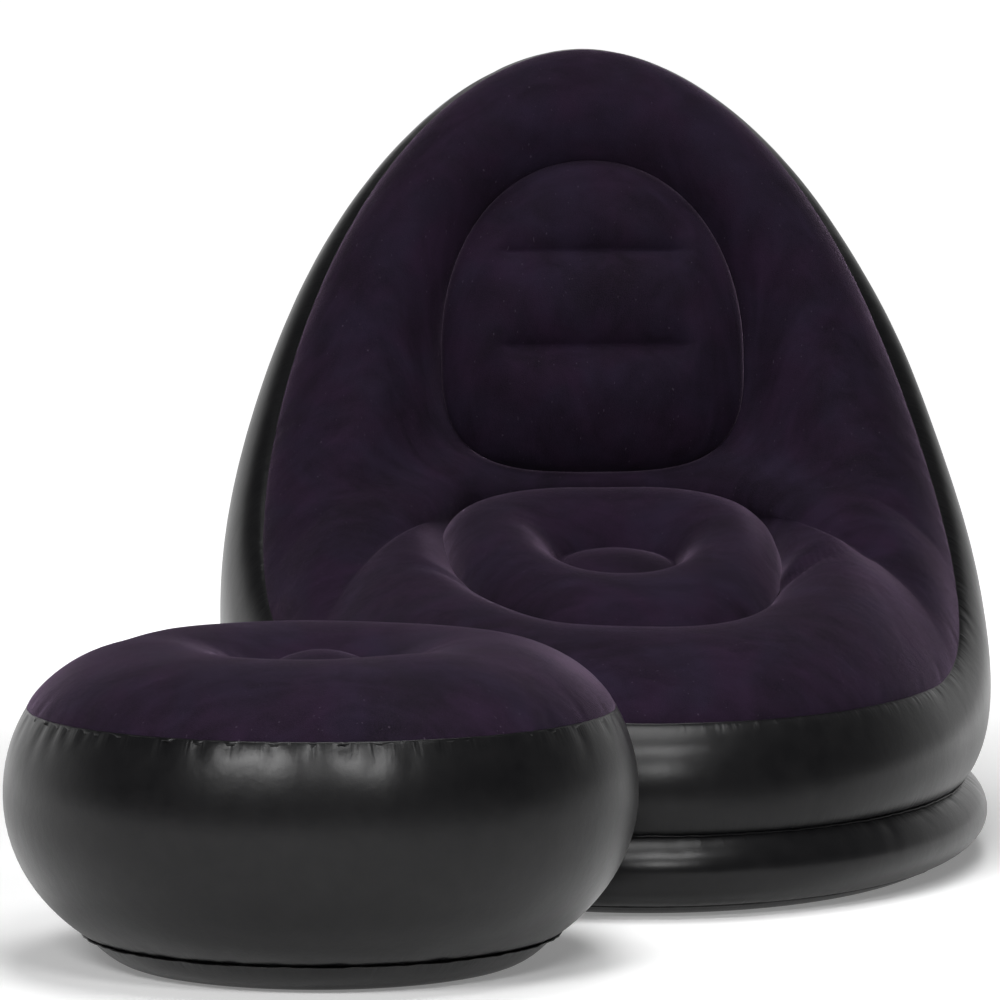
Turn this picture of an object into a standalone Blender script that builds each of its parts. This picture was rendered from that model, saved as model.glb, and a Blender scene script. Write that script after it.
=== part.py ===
"""Inflatable lounge chair with a round ottoman, in metres.

Both are blown up from thin sheet, so each piece is a sheet that swells between two weld lines.
A weld line is a loop of points that runs from the front over +X to the rear and back over -X.
The chair faces -Y, and webs, straps and tubes inside hold the welds that lie within its outline.
"""

import math

import bmesh
import bpy
import numpy as np
from mathutils import Matrix, Vector
from mathutils.bvhtree import BVHTree

# Sheet stock, and the clearance that a sheet's edge keeps at a weld
PVC_SHEET = 0.0005
FLOCKED_SHEET = 0.0009
WELD_GAP = 0.0003

# Chair: half its width along the flocked top's edge
CHAIR_HALF_WIDTH = 0.381

# Chair base ring
BASE_SIDE_OFFSET = 0.017
BASE_FRONT_REACH = 0.602
BASE_REAR_REACH = 0.500
BASE_CORNER_SHARE = 2.0
BASE_WELD_HEIGHT = 0.012
BASE_WELD_INSET = 0.020
BASE_BULGE = 0.030
BASE_FLAT_INSET = 0.055
CREASE_HEIGHT = 0.085
CREASE_INSET = 0.014

# Chair body: the line of the flocked top's edge, seen from the side
EDGE_FRONT_REACH = 0.554
EDGE_FRONT_HEIGHT = 0.195
EDGE_FRONT_RUN = 0.231
EDGE_FRONT_RISE_DEGREES = 1.1
EDGE_BEND_RADIUS = 0.554
EDGE_BACK_RISE_DEGREES = 74.1
EDGE_LENGTH = 1.210
EDGE_WIDEST_RUN = 0.565
EDGE_FRONT_SHARE = 2.0
EDGE_BACK_SHARE = 1.9
WALL_FRONT_BULGE = 0.022
WALL_SIDE_BULGE = 0.045
WALL_BACK_BULGE = 0.118

# Surround roll between that edge and the welds of the seat and the pillow
ROLL_FRONT_BULGE = 0.051
ROLL_SIDE_BULGE = 0.056
ROLL_HEAD_BULGE = 0.046
LUMBAR_BULGE = 0.022

# Seat cushion, whose outline weld lies in one plane: its foremost point lies this far behind
# and above the front of the flocked top's edge
SEAT_SETBACK = 0.223
SEAT_STEP_UP = 0.055
SEAT_RISE_DEGREES = 13.5
SEAT_HALF_WIDTH = 0.183
SEAT_FRONT_REACH = 0.315
SEAT_REAR_REACH = 0.151
SEAT_FRONT_SHARE = 2.2
SEAT_REAR_SHARE = 3.0
SEAT_FRONT_BULGE = 0.040
SEAT_SIDE_BULGE = 0.044
SEAT_REAR_BULGE = 0.040
PUCK_RADIUS = 0.066
PUCK_RUN = 0.251
PUCK_CROWN = 0.014

# Back pillow, whose outline weld lies in another plane, placed from the same front
PILLOW_SETBACK = 0.696
PILLOW_STEP_UP = 0.198
PILLOW_RISE_DEGREES = 79.5
PILLOW_HALF_WIDTH = 0.171
PILLOW_BOTTOM_REACH = 0.135
PILLOW_TOP_REACH = 0.219
PILLOW_BOTTOM_SHARE = 3.2
PILLOW_TOP_SHARE = 2.1
PILLOW_CROWN = 0.056
CHANNEL_HEIGHTS = (0.140, 0.248)
CHANNEL_HALF_LENGTH = 0.118
CHANNEL_DEPTH = 0.022
CHANNEL_WIDTH = 0.020
CHANNEL_FADE = 0.030

# Inner sheets, webs, straps and tube of the chair
BACKING_DROP = 0.0009
BACKING_HOLE_CLEARANCE = 0.002
DIVIDER_INSET = 0.0008
VENT_RADIUS = 0.015
SEAT_VENT_PLACES = ((-0.125, 0.245), (0.125, 0.245))
PILLOW_VENT_PLACES = ((0.0, 0.070), (0.0, 0.300))
DIVIDER_VENT_PLACES = ((-0.240, -0.250), (0.240, -0.250), (-0.240, 0.220), (0.240, 0.220))
WEB_DROP = 0.0017
BACK_STRAP_WIDTH = 0.110
BACK_STRAP_OFFSET = 0.075
BACK_STRAP_HEIGHT = 0.520
BASE_WEB_OFFSET = 0.120
BASE_WEB_LENGTH = 0.680

# Ottoman
OTTOMAN_CENTRE = (-0.370, -0.809)
OTTOMAN_WELD_RADIUS = 0.286
OTTOMAN_TOP_WELD_HEIGHT = 0.249
OTTOMAN_LOW_WELD_RADIUS = 0.230
OTTOMAN_LOW_WELD_HEIGHT = 0.030
OTTOMAN_FLAT_RADIUS = 0.180
OTTOMAN_WALL_BULGE = 0.048
OTTOMAN_TOP_BULGE = 0.050
OTTOMAN_PUCK_RADIUS = 0.070
OTTOMAN_PUCK_HEIGHT = 0.276
OTTOMAN_PUCK_CROWN = 0.028

# Inflation valve, with its lengths along its own axis
VALVE_FLANGE_RADIUS = 0.0165
VALVE_FLANGE_THICKNESS = 0.0012
VALVE_NECK_RADIUS = 0.0070
VALVE_NECK_LENGTH = 0.0080
VALVE_STEM_RADIUS = 0.0060
VALVE_STEM_LENGTH = 0.0140
VALVE_BORE_RADIUS = 0.0046
VALVE_HOLE_CLEARANCE = 0.0006
FLAP_THICKNESS = 0.0008
FLAP_RADIUS = 0.0056
STOPPER_RADIUS = 0.0085
STOPPER_THICKNESS = 0.0022
STOPPER_PLUG_RADIUS = 0.0042
STOPPER_TIP_RADIUS = 0.0036
STOPPER_PLUG_LENGTH = 0.0032
STRAP_RING_RADIUS = 0.0096
STRAP_THICKNESS = 0.0012
CHAIR_VALVE_SHARES = (0.49, 0.20)
OTTOMAN_VALVE_SHARES = (0.55, 0.45)

# How finely the rounds are divided
SEAT_SIDE_STEPS = 10
SEAT_REAR_STEPS = 5
LUMBAR_STEPS = 4
PILLOW_EDGE_STEPS = 5
ROLL_ROWS = 6
ROLL_SOFT_PASSES = 8
RIDGE_SOFT_PASSES = 2
WALL_ROWS = 7
BASE_ROWS = 4
SEAT_ROWS = 6
PUCK_ROWS = 3
FLOOR_ROWS = 2
OTTOMAN_STEPS = 44
OTTOMAN_ROWS = 5
VALVE_STEPS = 20
FINE_STEPS = 600

# Where a cushion's long side starts and ends, as angles, and the shapes of the swelling
SEAT_CORNER_DEGREES = 42
PILLOW_LOW_CORNER_DEGREES = -42
PILLOW_HIGH_CORNER_DEGREES = 52
PILLOW_CROWN_SHARES = (2.6, 2.4, 0.62)
SWELL_SHARE = 0.78
EASED_PEAK_SHARE = 1 / 3
WALL_SIDE_RISE_SHARE = 0.25
FLAT_FACE_SHARE = 0.5
WALL_FRONT_SWELL_SHARE = 0.75
WALL_BACK_SWELL_SHARE = 0.50
OTTOMAN_WALL_SWELL_SHARE = 0.89
FLOOR_TURN_SHARE = 0.25

# Looks of the materials: colour and roughness
FLOCK_LOOK = ((0.028, 0.017, 0.034), 0.85)
PVC_LOOK = ((0.008, 0.008, 0.009), 0.34)
INNER_LOOK = ((0.020, 0.020, 0.022), 0.45)
VALVE_LOOK = ((0.045, 0.045, 0.048), 0.38)

QUARTER = math.pi / 2


def clear_scene():
    for obj in list(bpy.data.objects):
        bpy.data.objects.remove(obj)


def material(name, look):
    colour, roughness = look
    made = bpy.data.materials.new(name)
    made.use_nodes = True
    shader = made.node_tree.nodes["Principled BSDF"]
    shader.inputs["Base Color"].default_value = (*colour, 1)
    shader.inputs["Roughness"].default_value = roughness
    shader.inputs["Metallic"].default_value = 0
    return made


def empty(name, parent, matrix=None):
    made = bpy.data.objects.new(name, None)
    bpy.context.scene.collection.objects.link(made)
    made.parent = parent
    made.matrix_local = matrix or Matrix()
    return made


def solid(name, points, faces, look, parent):
    mesh = bpy.data.meshes.new(name)
    mesh.from_pydata([tuple(point) for point in points], [], faces)
    mesh.materials.append(material(name, look))
    mesh.shade_smooth()
    mesh.set_sharp_from_angle(angle=math.radians(50))
    made = bpy.data.objects.new(name, mesh)
    bpy.context.scene.collection.objects.link(made)
    made.parent = parent
    return made


def sheet(name, points, faces, thickness, look, parent):
    """A sheet whose outer face is this surface."""
    made = solid(name, points, faces, look, parent)
    stock = made.modifiers.new("sheet", "SOLIDIFY")
    stock.thickness = thickness
    stock.offset = -1
    stock.use_even_offset = True
    return made


def punch(obj, matrix, radius, reach):
    """A round hole through a sheet, along the Z axis of this matrix."""
    mesh = bpy.data.meshes.new(f"{obj.name}_punch")
    tool = bmesh.new()
    bmesh.ops.create_cone(
        tool, cap_ends=True, segments=VALVE_STEPS, radius1=radius, radius2=radius, depth=reach
    )
    tool.to_mesh(mesh)
    tool.free()
    cutter = bpy.data.objects.new(f"{obj.name}_punch", mesh)
    bpy.context.scene.collection.objects.link(cutter)
    cutter.parent = obj.parent
    cutter.matrix_local = matrix
    cutter.hide_render = True
    cutter.display_type = "WIRE"
    hole = obj.modifiers.new("hole", "BOOLEAN")
    hole.operation = "DIFFERENCE"
    hole.solver = "EXACT"
    hole.object = cutter


# Loops of points

def oval(angle, half_width, front, rear, front_share, rear_share):
    """A point of an oval, from its front at -90 degrees over +X to its rear at 90."""
    power = rear_share if angle > 0 else front_share
    reach = rear if angle > 0 else front
    across = half_width * max(math.cos(angle), 0) ** (2 / power)
    return across, math.copysign(reach * abs(math.sin(angle)) ** (2 / power), angle)


def evenly(curve, steps):
    """Half a loop as points at equal distances along the curve."""
    fine = np.array([curve(QUARTER * (2 * i / FINE_STEPS - 1)) for i in range(FINE_STEPS + 1)])
    run = np.concatenate([[0], np.cumsum(np.linalg.norm(np.diff(fine, axis=0), axis=1))])
    wanted = np.linspace(0, run[-1], steps + 1)
    return np.stack([np.interp(wanted, run, fine[:, axis]) for axis in range(3)], axis=1)


def whole(half):
    """A loop from its half on +X, which starts and ends on the middle plane."""
    return np.concatenate([half, half[-2:0:-1] * np.array([-1, 1, 1])])


def whole_values(half):
    return np.concatenate([half, half[-2:0:-1]])


def spaced(first, last, steps):
    return [first + (last - first) * i / steps for i in range(steps + 1)]


def circle(radius, height, steps):
    angles = [2 * math.pi * i / steps - QUARTER for i in range(steps)]
    return np.array([(radius * math.cos(a), radius * math.sin(a), height) for a in angles])


def edge_line(run):
    """The flocked top's edge from the side: y and z at this distance from its front."""
    low, high = math.radians(EDGE_FRONT_RISE_DEGREES), math.radians(EDGE_BACK_RISE_DEGREES)
    front = min(run, EDGE_FRONT_RUN)
    bend = min(run - front, EDGE_BEND_RADIUS * (high - low))
    rise = low + bend / EDGE_BEND_RADIUS
    back = run - front - bend
    y = front * math.cos(low) + EDGE_BEND_RADIUS * (math.sin(rise) - math.sin(low)) + back * math.cos(high)
    z = front * math.sin(low) + EDGE_BEND_RADIUS * (math.cos(low) - math.cos(rise)) + back * math.sin(high)
    return y - EDGE_FRONT_REACH, z + EDGE_FRONT_HEIGHT


def edge_point(angle):
    reach_back = EDGE_LENGTH - EDGE_WIDEST_RUN
    across, run = oval(
        angle, CHAIR_HALF_WIDTH, EDGE_WIDEST_RUN, reach_back, EDGE_FRONT_SHARE, EDGE_BACK_SHARE
    )
    return (across, *edge_line(run + EDGE_WIDEST_RUN))


def base_loop(inset, height, steps):
    """A level loop, this far inside the base ring's outline."""
    def point(angle):
        across, along = oval(
            angle,
            CHAIR_HALF_WIDTH + BASE_SIDE_OFFSET - inset,
            BASE_FRONT_REACH - inset,
            BASE_REAR_REACH - inset,
            BASE_CORNER_SHARE,
            BASE_CORNER_SHARE,
        )
        return across, along, height
    return whole(evenly(point, steps))


def plane_matrix(setback, step_up, rise_degrees):
    """X across the cushion, Y up its plane from the weld's lowest point, Z out of the chair."""
    place = Matrix.Translation((0, setback - EDGE_FRONT_REACH, EDGE_FRONT_HEIGHT + step_up))
    return place @ Matrix.Rotation(math.radians(rise_degrees), 4, "X")


SEAT_PLANE = plane_matrix(SEAT_SETBACK, SEAT_STEP_UP, SEAT_RISE_DEGREES)
PILLOW_PLANE = plane_matrix(PILLOW_SETBACK, PILLOW_STEP_UP, PILLOW_RISE_DEGREES)


def on(plane, places):
    return np.array([plane @ Vector(place) for place in places])


def seat_outline(angle, inset=0):
    across, along = oval(
        angle,
        SEAT_HALF_WIDTH - inset,
        SEAT_FRONT_REACH - inset,
        SEAT_REAR_REACH - inset,
        SEAT_FRONT_SHARE,
        SEAT_REAR_SHARE,
    )
    return across, along + SEAT_FRONT_REACH, 0


def pillow_outline(angle, inset=0):
    across, along = oval(
        angle,
        PILLOW_HALF_WIDTH - inset,
        PILLOW_BOTTOM_REACH - inset,
        PILLOW_TOP_REACH - inset,
        PILLOW_BOTTOM_SHARE,
        PILLOW_TOP_SHARE,
    )
    return across, along + PILLOW_BOTTOM_REACH, 0


def pillow_angle(height):
    """The angle of the pillow outline's point at this height above its lowest point."""
    along = height - PILLOW_BOTTOM_REACH
    reach, power = PILLOW_BOTTOM_REACH, PILLOW_BOTTOM_SHARE
    if along > 0:
        reach, power = PILLOW_TOP_REACH, PILLOW_TOP_SHARE
    return math.copysign(math.asin((abs(along) / reach) ** (power / 2)), along)


def seat_angles():
    corner = math.radians(SEAT_CORNER_DEGREES)
    return spaced(-QUARTER, corner, SEAT_SIDE_STEPS) + spaced(corner, QUARTER, SEAT_REAR_STEPS)[1:]


def pillow_row_heights():
    """Heights of the pillow's rows at its sides, with three rows in each channel."""
    low = pillow_outline(math.radians(PILLOW_LOW_CORNER_DEGREES))[1]
    high = pillow_outline(math.radians(PILLOW_HIGH_CORNER_DEGREES))[1]
    lower, upper = CHANNEL_HEIGHTS
    rows = spaced(low, lower - CHANNEL_WIDTH, 3) + [lower, lower + CHANNEL_WIDTH]
    rows += [(lower + upper) / 2, upper - CHANNEL_WIDTH, upper]
    return rows + spaced(upper + CHANNEL_WIDTH, high, 2)


def pillow_angles():
    """Angles of half the pillow's outline: bottom edge, side and top edge."""
    low, high = math.radians(PILLOW_LOW_CORNER_DEGREES), math.radians(PILLOW_HIGH_CORNER_DEGREES)
    turns = [math.sin(QUARTER * i / PILLOW_EDGE_STEPS) for i in range(PILLOW_EDGE_STEPS + 1)]
    bottom = [-QUARTER + (low + QUARTER) * turn for turn in turns]
    side = [pillow_angle(height) for height in pillow_row_heights()[1:-1]]
    top = [QUARTER + (high - QUARTER) * turn for turn in reversed(turns)]
    return bottom + side + top


# Sheets between loops

def softened(values, passes):
    """Values round a loop, each drawn towards its neighbours."""
    for _ in range(passes):
        values = (np.roll(values, 1, axis=0) + 2 * values + np.roll(values, -1, axis=0)) / 4
    return values


def swell(lower, upper, bulge, rows, fullness=SWELL_SHARE, closed=True, eased=0, passes=0):
    """Rows of points between two weld lines, blown outwards by each column's bulge."""
    middle = lower + upper
    tangent = np.gradient(middle, axis=0)
    if closed:
        tangent = np.roll(middle, -1, axis=0) - np.roll(middle, 1, axis=0)
    out = np.cross(tangent, upper - lower)
    out = softened(out / np.linalg.norm(out, axis=1)[:, None], passes)
    out /= np.linalg.norm(out, axis=1)[:, None]
    made = []
    for row in range(rows + 1):
        share = (1 - math.cos(math.pi * row / rows)) / 2
        full = (4 * share * (1 - share)) ** fullness
        soft = share * (1 - share) ** 2 / (EASED_PEAK_SHARE * (1 - EASED_PEAK_SHARE) ** 2)
        rise = bulge * (full + (soft - full) * eased)
        made.append(lower + (upper - lower) * share + out * rise[:, None])
    return np.array(made)


def trim(rows, first, last):
    """The rows with their end edges drawn back from the weld lines by these lengths."""
    made = rows.copy()
    for end, inner, length in ((0, 1, first), (-1, -2, last)):
        way = rows[inner] - rows[end]
        made[end] += way / np.linalg.norm(way, axis=1)[:, None] * length
    return made


def grid_faces(rows, columns, closed=True, start=0):
    faces = []
    for row in range(rows - 1):
        for column in range(columns if closed else columns - 1):
            after = (column + 1) % columns
            low, high = start + row * columns, start + (row + 1) * columns
            faces.append((low + column, low + after, high + after, high + column))
    return faces


def rows_with_centre(rows, centre):
    """Points and faces of closed rows whose last one is closed round a centre point."""
    count, columns = len(rows), len(rows[0])
    points = np.concatenate([*rows, [centre]])
    faces = grid_faces(count, columns)
    last = (count - 1) * columns
    faces += [(last + j, last + (j + 1) % columns, count * columns) for j in range(columns)]
    return points, faces


def dome(loop, axis, crown, rows):
    """Rows from a round weld up to a low crown, and the crown's top."""
    centre = loop.mean(axis=0)
    shares = [1 - row / rows for row in range(1, rows)]
    made = [centre + (loop - centre) * share + axis * crown * (1 - share ** 2) for share in shares]
    return made, centre + axis * crown


# Chair

def half_steps():
    return SEAT_SIDE_STEPS + LUMBAR_STEPS + len(pillow_angles()) - 1 - PILLOW_EDGE_STEPS


def edge_loop():
    return whole(evenly(edge_point, half_steps()))


def crease_loop(inset=0):
    return base_loop(CREASE_INSET + inset, CREASE_HEIGHT, half_steps())


def floor_sheet(name, weld, flat, parent):
    """A bottom sheet: flat on the floor, and turned up to the weld round it."""
    rows = swell(flat, weld, np.zeros(len(weld)), FLOOR_ROWS)
    rows[1:-1, :, 2] = flat[0][2] + (weld[0][2] - flat[0][2]) * FLOOR_TURN_SHARE
    rows = trim(rows, 0, WELD_GAP)[::-1]
    points, faces = rows_with_centre(list(rows), (0, 0, flat[0][2]))
    faces = [tuple(reversed(face)) for face in faces]
    return sheet(name, points, faces, PVC_SHEET, PVC_LOOK, parent)


def make_base(parent):
    steps = half_steps()
    weld = base_loop(BASE_WELD_INSET, BASE_WELD_HEIGHT, steps)
    floor_sheet("base_bottom_sheet", weld, base_loop(BASE_FLAT_INSET, 0, steps), parent)
    rows = swell(weld, crease_loop(), np.full(len(weld), BASE_BULGE), BASE_ROWS)
    rows = trim(rows, WELD_GAP, WELD_GAP)
    faces = grid_faces(len(rows), len(weld))
    sheet("base_ring_wall", rows.reshape(-1, 3), faces, PVC_SHEET, PVC_LOOK, parent)
    make_divider(parent)
    for side, name in ((-1, "left"), (1, "right")):
        make_base_web(f"base_tie_web_{name}", side * BASE_WEB_OFFSET, parent)


def make_divider(parent):
    points, faces = rows_with_centre([crease_loop(DIVIDER_INSET)], (0, 0, CREASE_HEIGHT))
    made = sheet("base_divider_sheet", points, faces, PVC_SHEET, INNER_LOOK, parent)
    for x, y in DIVIDER_VENT_PLACES:
        punch(made, Matrix.Translation((x, y, CREASE_HEIGHT)), VENT_RADIUS, VENT_RADIUS)


def make_base_web(name, x, parent):
    low = PVC_SHEET + WELD_GAP
    high = CREASE_HEIGHT - PVC_SHEET - WELD_GAP
    front, rear = -BASE_WEB_LENGTH / 2, BASE_WEB_LENGTH / 2
    points = [(x, front, low), (x, rear, low), (x, rear, high), (x, front, high)]
    sheet(name, points, [(0, 1, 2, 3)], PVC_SHEET, INNER_LOOK, parent)


def wall_swelling(loop):
    """Bulge and fullness of the body's wall: fullest at the back, where the wall is highest."""
    rise = (loop[:, 2] - EDGE_FRONT_HEIGHT) / (loop[:, 2].max() - EDGE_FRONT_HEIGHT)
    side = np.clip(rise / WALL_SIDE_RISE_SHARE, 0, 1)
    back = np.clip((rise - WALL_SIDE_RISE_SHARE) / (1 - WALL_SIDE_RISE_SHARE), 0, 1)
    more = (WALL_SIDE_BULGE - WALL_FRONT_BULGE) * side + (WALL_BACK_BULGE - WALL_SIDE_BULGE) * back
    fullness = WALL_FRONT_SWELL_SHARE + (WALL_BACK_SWELL_SHARE - WALL_FRONT_SWELL_SHARE) * side
    return WALL_FRONT_BULGE + more, fullness


def make_wall(parent):
    edge = edge_loop()
    bulges, fullness = wall_swelling(edge)
    rows = swell(crease_loop(), edge, bulges, WALL_ROWS, fullness=fullness)
    rows = trim(rows, WELD_GAP, WELD_GAP + PVC_SHEET)
    faces = grid_faces(len(rows), len(edge))
    made = sheet("body_side_wall", rows.reshape(-1, 3), faces, PVC_SHEET, PVC_LOOK, parent)
    return made, rows


def lumbar_rows():
    """The ridge between the seat's rear edge and the pillow's bottom edge, from left to right."""
    rear = on(SEAT_PLANE, [seat_outline(a) for a in seat_angles()[SEAT_SIDE_STEPS:]])
    bottom = on(PILLOW_PLANE, [pillow_outline(a) for a in pillow_angles()[PILLOW_EDGE_STEPS::-1]])
    mirror = np.array([-1, 1, 1])
    lower = np.concatenate([rear * mirror, rear[-2::-1]])
    upper = np.concatenate([bottom * mirror, bottom[-2::-1]])
    return swell(lower, upper, np.full(len(lower), LUMBAR_BULGE), LUMBAR_STEPS, closed=False)


def inner_loop(lumbar):
    """The surround's inner edge: round the seat, past the ridge's ends and round the pillow."""
    seat = on(SEAT_PLANE, [seat_outline(a) for a in seat_angles()[: SEAT_SIDE_STEPS + 1]])
    pillow = on(PILLOW_PLANE, [pillow_outline(a) for a in pillow_angles()[PILLOW_EDGE_STEPS:]])
    return whole(np.concatenate([seat, lumbar[1:-1, -1], pillow]))


def roll_bulges(steps):
    """Bulge of the surround roll at each column from the front to the head."""
    turns = np.linspace(-QUARTER, QUARTER, steps + 1)
    ends = np.where(turns < 0, ROLL_FRONT_BULGE, ROLL_HEAD_BULGE)
    return whole_values(ROLL_SIDE_BULGE + (ends - ROLL_SIDE_BULGE) * np.sin(turns) ** 2)


def make_surround(parent):
    lumbar = lumbar_rows()
    inner, outer = inner_loop(lumbar), edge_loop()
    steps = half_steps()
    ridge_end = np.zeros(steps + 1)
    ridge_end[SEAT_SIDE_STEPS + 1 : SEAT_SIDE_STEPS + LUMBAR_STEPS] = 1
    eased = softened(whole_values(ridge_end), RIDGE_SOFT_PASSES)
    roll = swell(outer, inner, roll_bulges(steps), ROLL_ROWS, eased=eased, passes=ROLL_SOFT_PASSES)
    roll = trim(roll, WELD_GAP + FLOCKED_SHEET, 0)
    points = np.concatenate([roll.reshape(-1, 3), lumbar.reshape(-1, 3)])
    faces = grid_faces(len(roll), len(outer))
    faces += grid_faces(len(lumbar), lumbar.shape[1], closed=False, start=roll.shape[0] * roll.shape[1])
    join_doubles(sheet("flocked_surround", points, faces, FLOCKED_SHEET, FLOCK_LOOK, parent))


def join_doubles(obj):
    mesh = bmesh.new()
    mesh.from_mesh(obj.data)
    bmesh.ops.remove_doubles(mesh, verts=mesh.verts, dist=WELD_GAP / 10)
    mesh.to_mesh(obj.data)
    mesh.free()


def seat_loop(inset, out):
    return whole(on(SEAT_PLANE, [(*seat_outline(a, inset)[:2], out) for a in seat_angles()]))


def puck_loop(radius, out):
    steps = 2 * (len(seat_angles()) - 1)
    return on(SEAT_PLANE, [(x, y + PUCK_RUN, z) for x, y, z in circle(radius, out, steps)])


def seat_bulges():
    angles = np.array(seat_angles())
    ends = np.where(angles < 0, SEAT_FRONT_BULGE, SEAT_REAR_BULGE)
    return whole_values(SEAT_SIDE_BULGE + (ends - SEAT_SIDE_BULGE) * np.sin(angles) ** 2)


def make_seat(parent):
    weld, puck = seat_loop(WELD_GAP, 0), puck_loop(PUCK_RADIUS, 0)
    torus = trim(swell(weld, puck, seat_bulges(), SEAT_ROWS), WELD_GAP, 0)
    rows, top = dome(puck, np.array(SEAT_PLANE.col[2][:3]), PUCK_CROWN, PUCK_ROWS)
    points, faces = rows_with_centre([*torus, *rows], top)
    sheet("flocked_seat_panel", points, faces, FLOCKED_SHEET, FLOCK_LOOK, parent)


def channel_depth(x, height):
    """How deep the welded channels pull the pillow in at this place."""
    fade = min(max((CHANNEL_HALF_LENGTH - abs(x)) / CHANNEL_FADE, 0), 1)
    depth = sum(math.exp(-abs(height - channel) / CHANNEL_WIDTH) for channel in CHANNEL_HEIGHTS)
    return CHANNEL_DEPTH * depth * fade * fade * (3 - 2 * fade)


def pillow_places():
    """The pillow's grid on its plane, from its bottom edge to its top edge."""
    outline = np.array([pillow_outline(a, WELD_GAP)[:2] for a in pillow_angles()])
    edge = PILLOW_EDGE_STEPS
    bottom, sides, top = outline[: edge + 1], outline[edge : len(outline) - edge], outline[: -edge - 2 : -1]
    low_end, high_end = CHANNEL_HEIGHTS[0] - CHANNEL_WIDTH, CHANNEL_HEIGHTS[1] + CHANNEL_WIDTH
    even = np.sin(np.linspace(0, QUARTER, edge + 1))
    rows = []
    for x, height in sides:
        low = max((low_end - height) / (low_end - sides[0][1]), 0)
        high = max((height - high_end) / (sides[-1][1] - high_end), 0)
        shares = even + (bottom[:, 0] / bottom[-1, 0] - even) * low + (top[:, 0] / top[-1, 0] - even) * high
        y = height + (bottom[:, 1] - bottom[-1, 1]) * low + (top[:, 1] - top[-1, 1]) * high
        right = np.stack([shares * x, y], axis=1)
        rows.append(np.concatenate([right[:0:-1] * np.array([-1, 1]), right]))
    return np.array(rows)


def crowned(places):
    """The pillow's grid with its crown and channels, as places over the pillow's plane."""
    across_power, along_power, fullness = PILLOW_CROWN_SHARES
    made = []
    for row in places:
        line = []
        for column, (x, y) in enumerate(row):
            low, high = places[0][column][1], places[-1][column][1]
            along = abs(2 * (y - low) / (high - low) - 1)
            across = abs(x / row[-1][0])
            full = max((1 - across ** across_power) * (1 - along ** along_power), 0) ** fullness
            line.append((x, y, max(PILLOW_CROWN * full - channel_depth(x, y), 0)))
        made.append(line)
    return made


def make_pillow(parent):
    places = crowned(pillow_places())
    points = on(PILLOW_PLANE, [place for row in places for place in row])
    faces = grid_faces(len(places), len(places[0]), closed=False)
    sheet("flocked_back_pillow", points, faces, FLOCKED_SHEET, FLOCK_LOOK, parent)
    names = ("pillow_channel_web_lower", "pillow_channel_web_upper")
    for name, height in zip(names, CHANNEL_HEIGHTS):
        make_channel_web(name, places, height, parent)


def make_channel_web(name, places, height, parent):
    """A web that ties the bottom of a channel to the pillow's backing."""
    row = min(places, key=lambda line: abs(line[0][1] - height))
    front = [place for place in row if abs(place[0]) <= CHANNEL_HALF_LENGTH]
    low = WELD_GAP - BACKING_DROP
    edges = [(x, y, low) for x, y, _ in front] + [(x, y, z - WEB_DROP) for x, y, z in front]
    faces = grid_faces(2, len(front), closed=False)
    sheet(name, on(PILLOW_PLANE, edges), faces, PVC_SHEET, INNER_LOOK, parent)


def make_seat_backing(parent):
    """A flat sheet under the seat that pulls its outline weld level, open round the tube."""
    hole = PUCK_RADIUS + BACKING_HOLE_CLEARANCE
    loops = [seat_loop(WELD_GAP, -BACKING_DROP), puck_loop(hole, -BACKING_DROP)]
    faces = grid_faces(2, len(loops[0]))
    made = sheet("seat_backing_sheet", np.concatenate(loops), faces, PVC_SHEET, INNER_LOOK, parent)
    for x, y in SEAT_VENT_PLACES:
        punch(made, SEAT_PLANE @ Matrix.Translation((x, y, 0)), VENT_RADIUS, VENT_RADIUS)


def make_pillow_backing(parent):
    places = [(*pillow_outline(a, WELD_GAP)[:2], -BACKING_DROP) for a in pillow_angles()]
    centre = on(PILLOW_PLANE, [(0, PILLOW_BOTTOM_REACH, -BACKING_DROP)])[0]
    points, faces = rows_with_centre([whole(on(PILLOW_PLANE, places))], centre)
    made = sheet("pillow_backing_sheet", points, faces, PVC_SHEET, INNER_LOOK, parent)
    for x, y in PILLOW_VENT_PLACES:
        punch(made, PILLOW_PLANE @ Matrix.Translation((x, y, 0)), VENT_RADIUS, VENT_RADIUS)


def make_seat_tube(parent):
    """The tube that holds the seat's puck down to the divider."""
    top = puck_loop(PUCK_RADIUS - WELD_GAP, -WEB_DROP)
    foot = top * np.array([1, 1, 0]) + np.array([0, 0, CREASE_HEIGHT + WELD_GAP])
    faces = grid_faces(2, len(top))
    sheet("seat_tie_tube", np.concatenate([foot, top]), faces, PVC_SHEET, INNER_LOOK, parent)


def make_back_straps(wall, parent):
    """Level straps from the pillow's backing to the wall behind it."""
    bpy.context.view_layer.update()
    tree = BVHTree.FromObject(wall, bpy.context.evaluated_depsgraph_get())
    _, weld_y, weld_z = PILLOW_PLANE.translation
    slope = math.radians(PILLOW_RISE_DEGREES)
    behind = (BACKING_DROP + PVC_SHEET + WELD_GAP) / math.sin(slope)
    front = weld_y + (BACK_STRAP_HEIGHT - weld_z) / math.tan(slope) + behind
    for side, name in ((-1, "left"), (1, "right")):
        middle = side * BACK_STRAP_OFFSET
        across = spaced(middle - BACK_STRAP_WIDTH / 2, middle + BACK_STRAP_WIDTH / 2, 4)
        starts = [Vector((x, front, BACK_STRAP_HEIGHT)) for x in across]
        ends = [tree.ray_cast(start, Vector((0, 1, 0)))[0] for start in starts]
        points = starts + [end - Vector((0, WELD_GAP + PVC_SHEET, 0)) for end in ends]
        faces = grid_faces(2, len(across), closed=False)
        sheet(f"back_strap_{name}", points, faces, PVC_SHEET, INNER_LOOK, parent)


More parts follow.
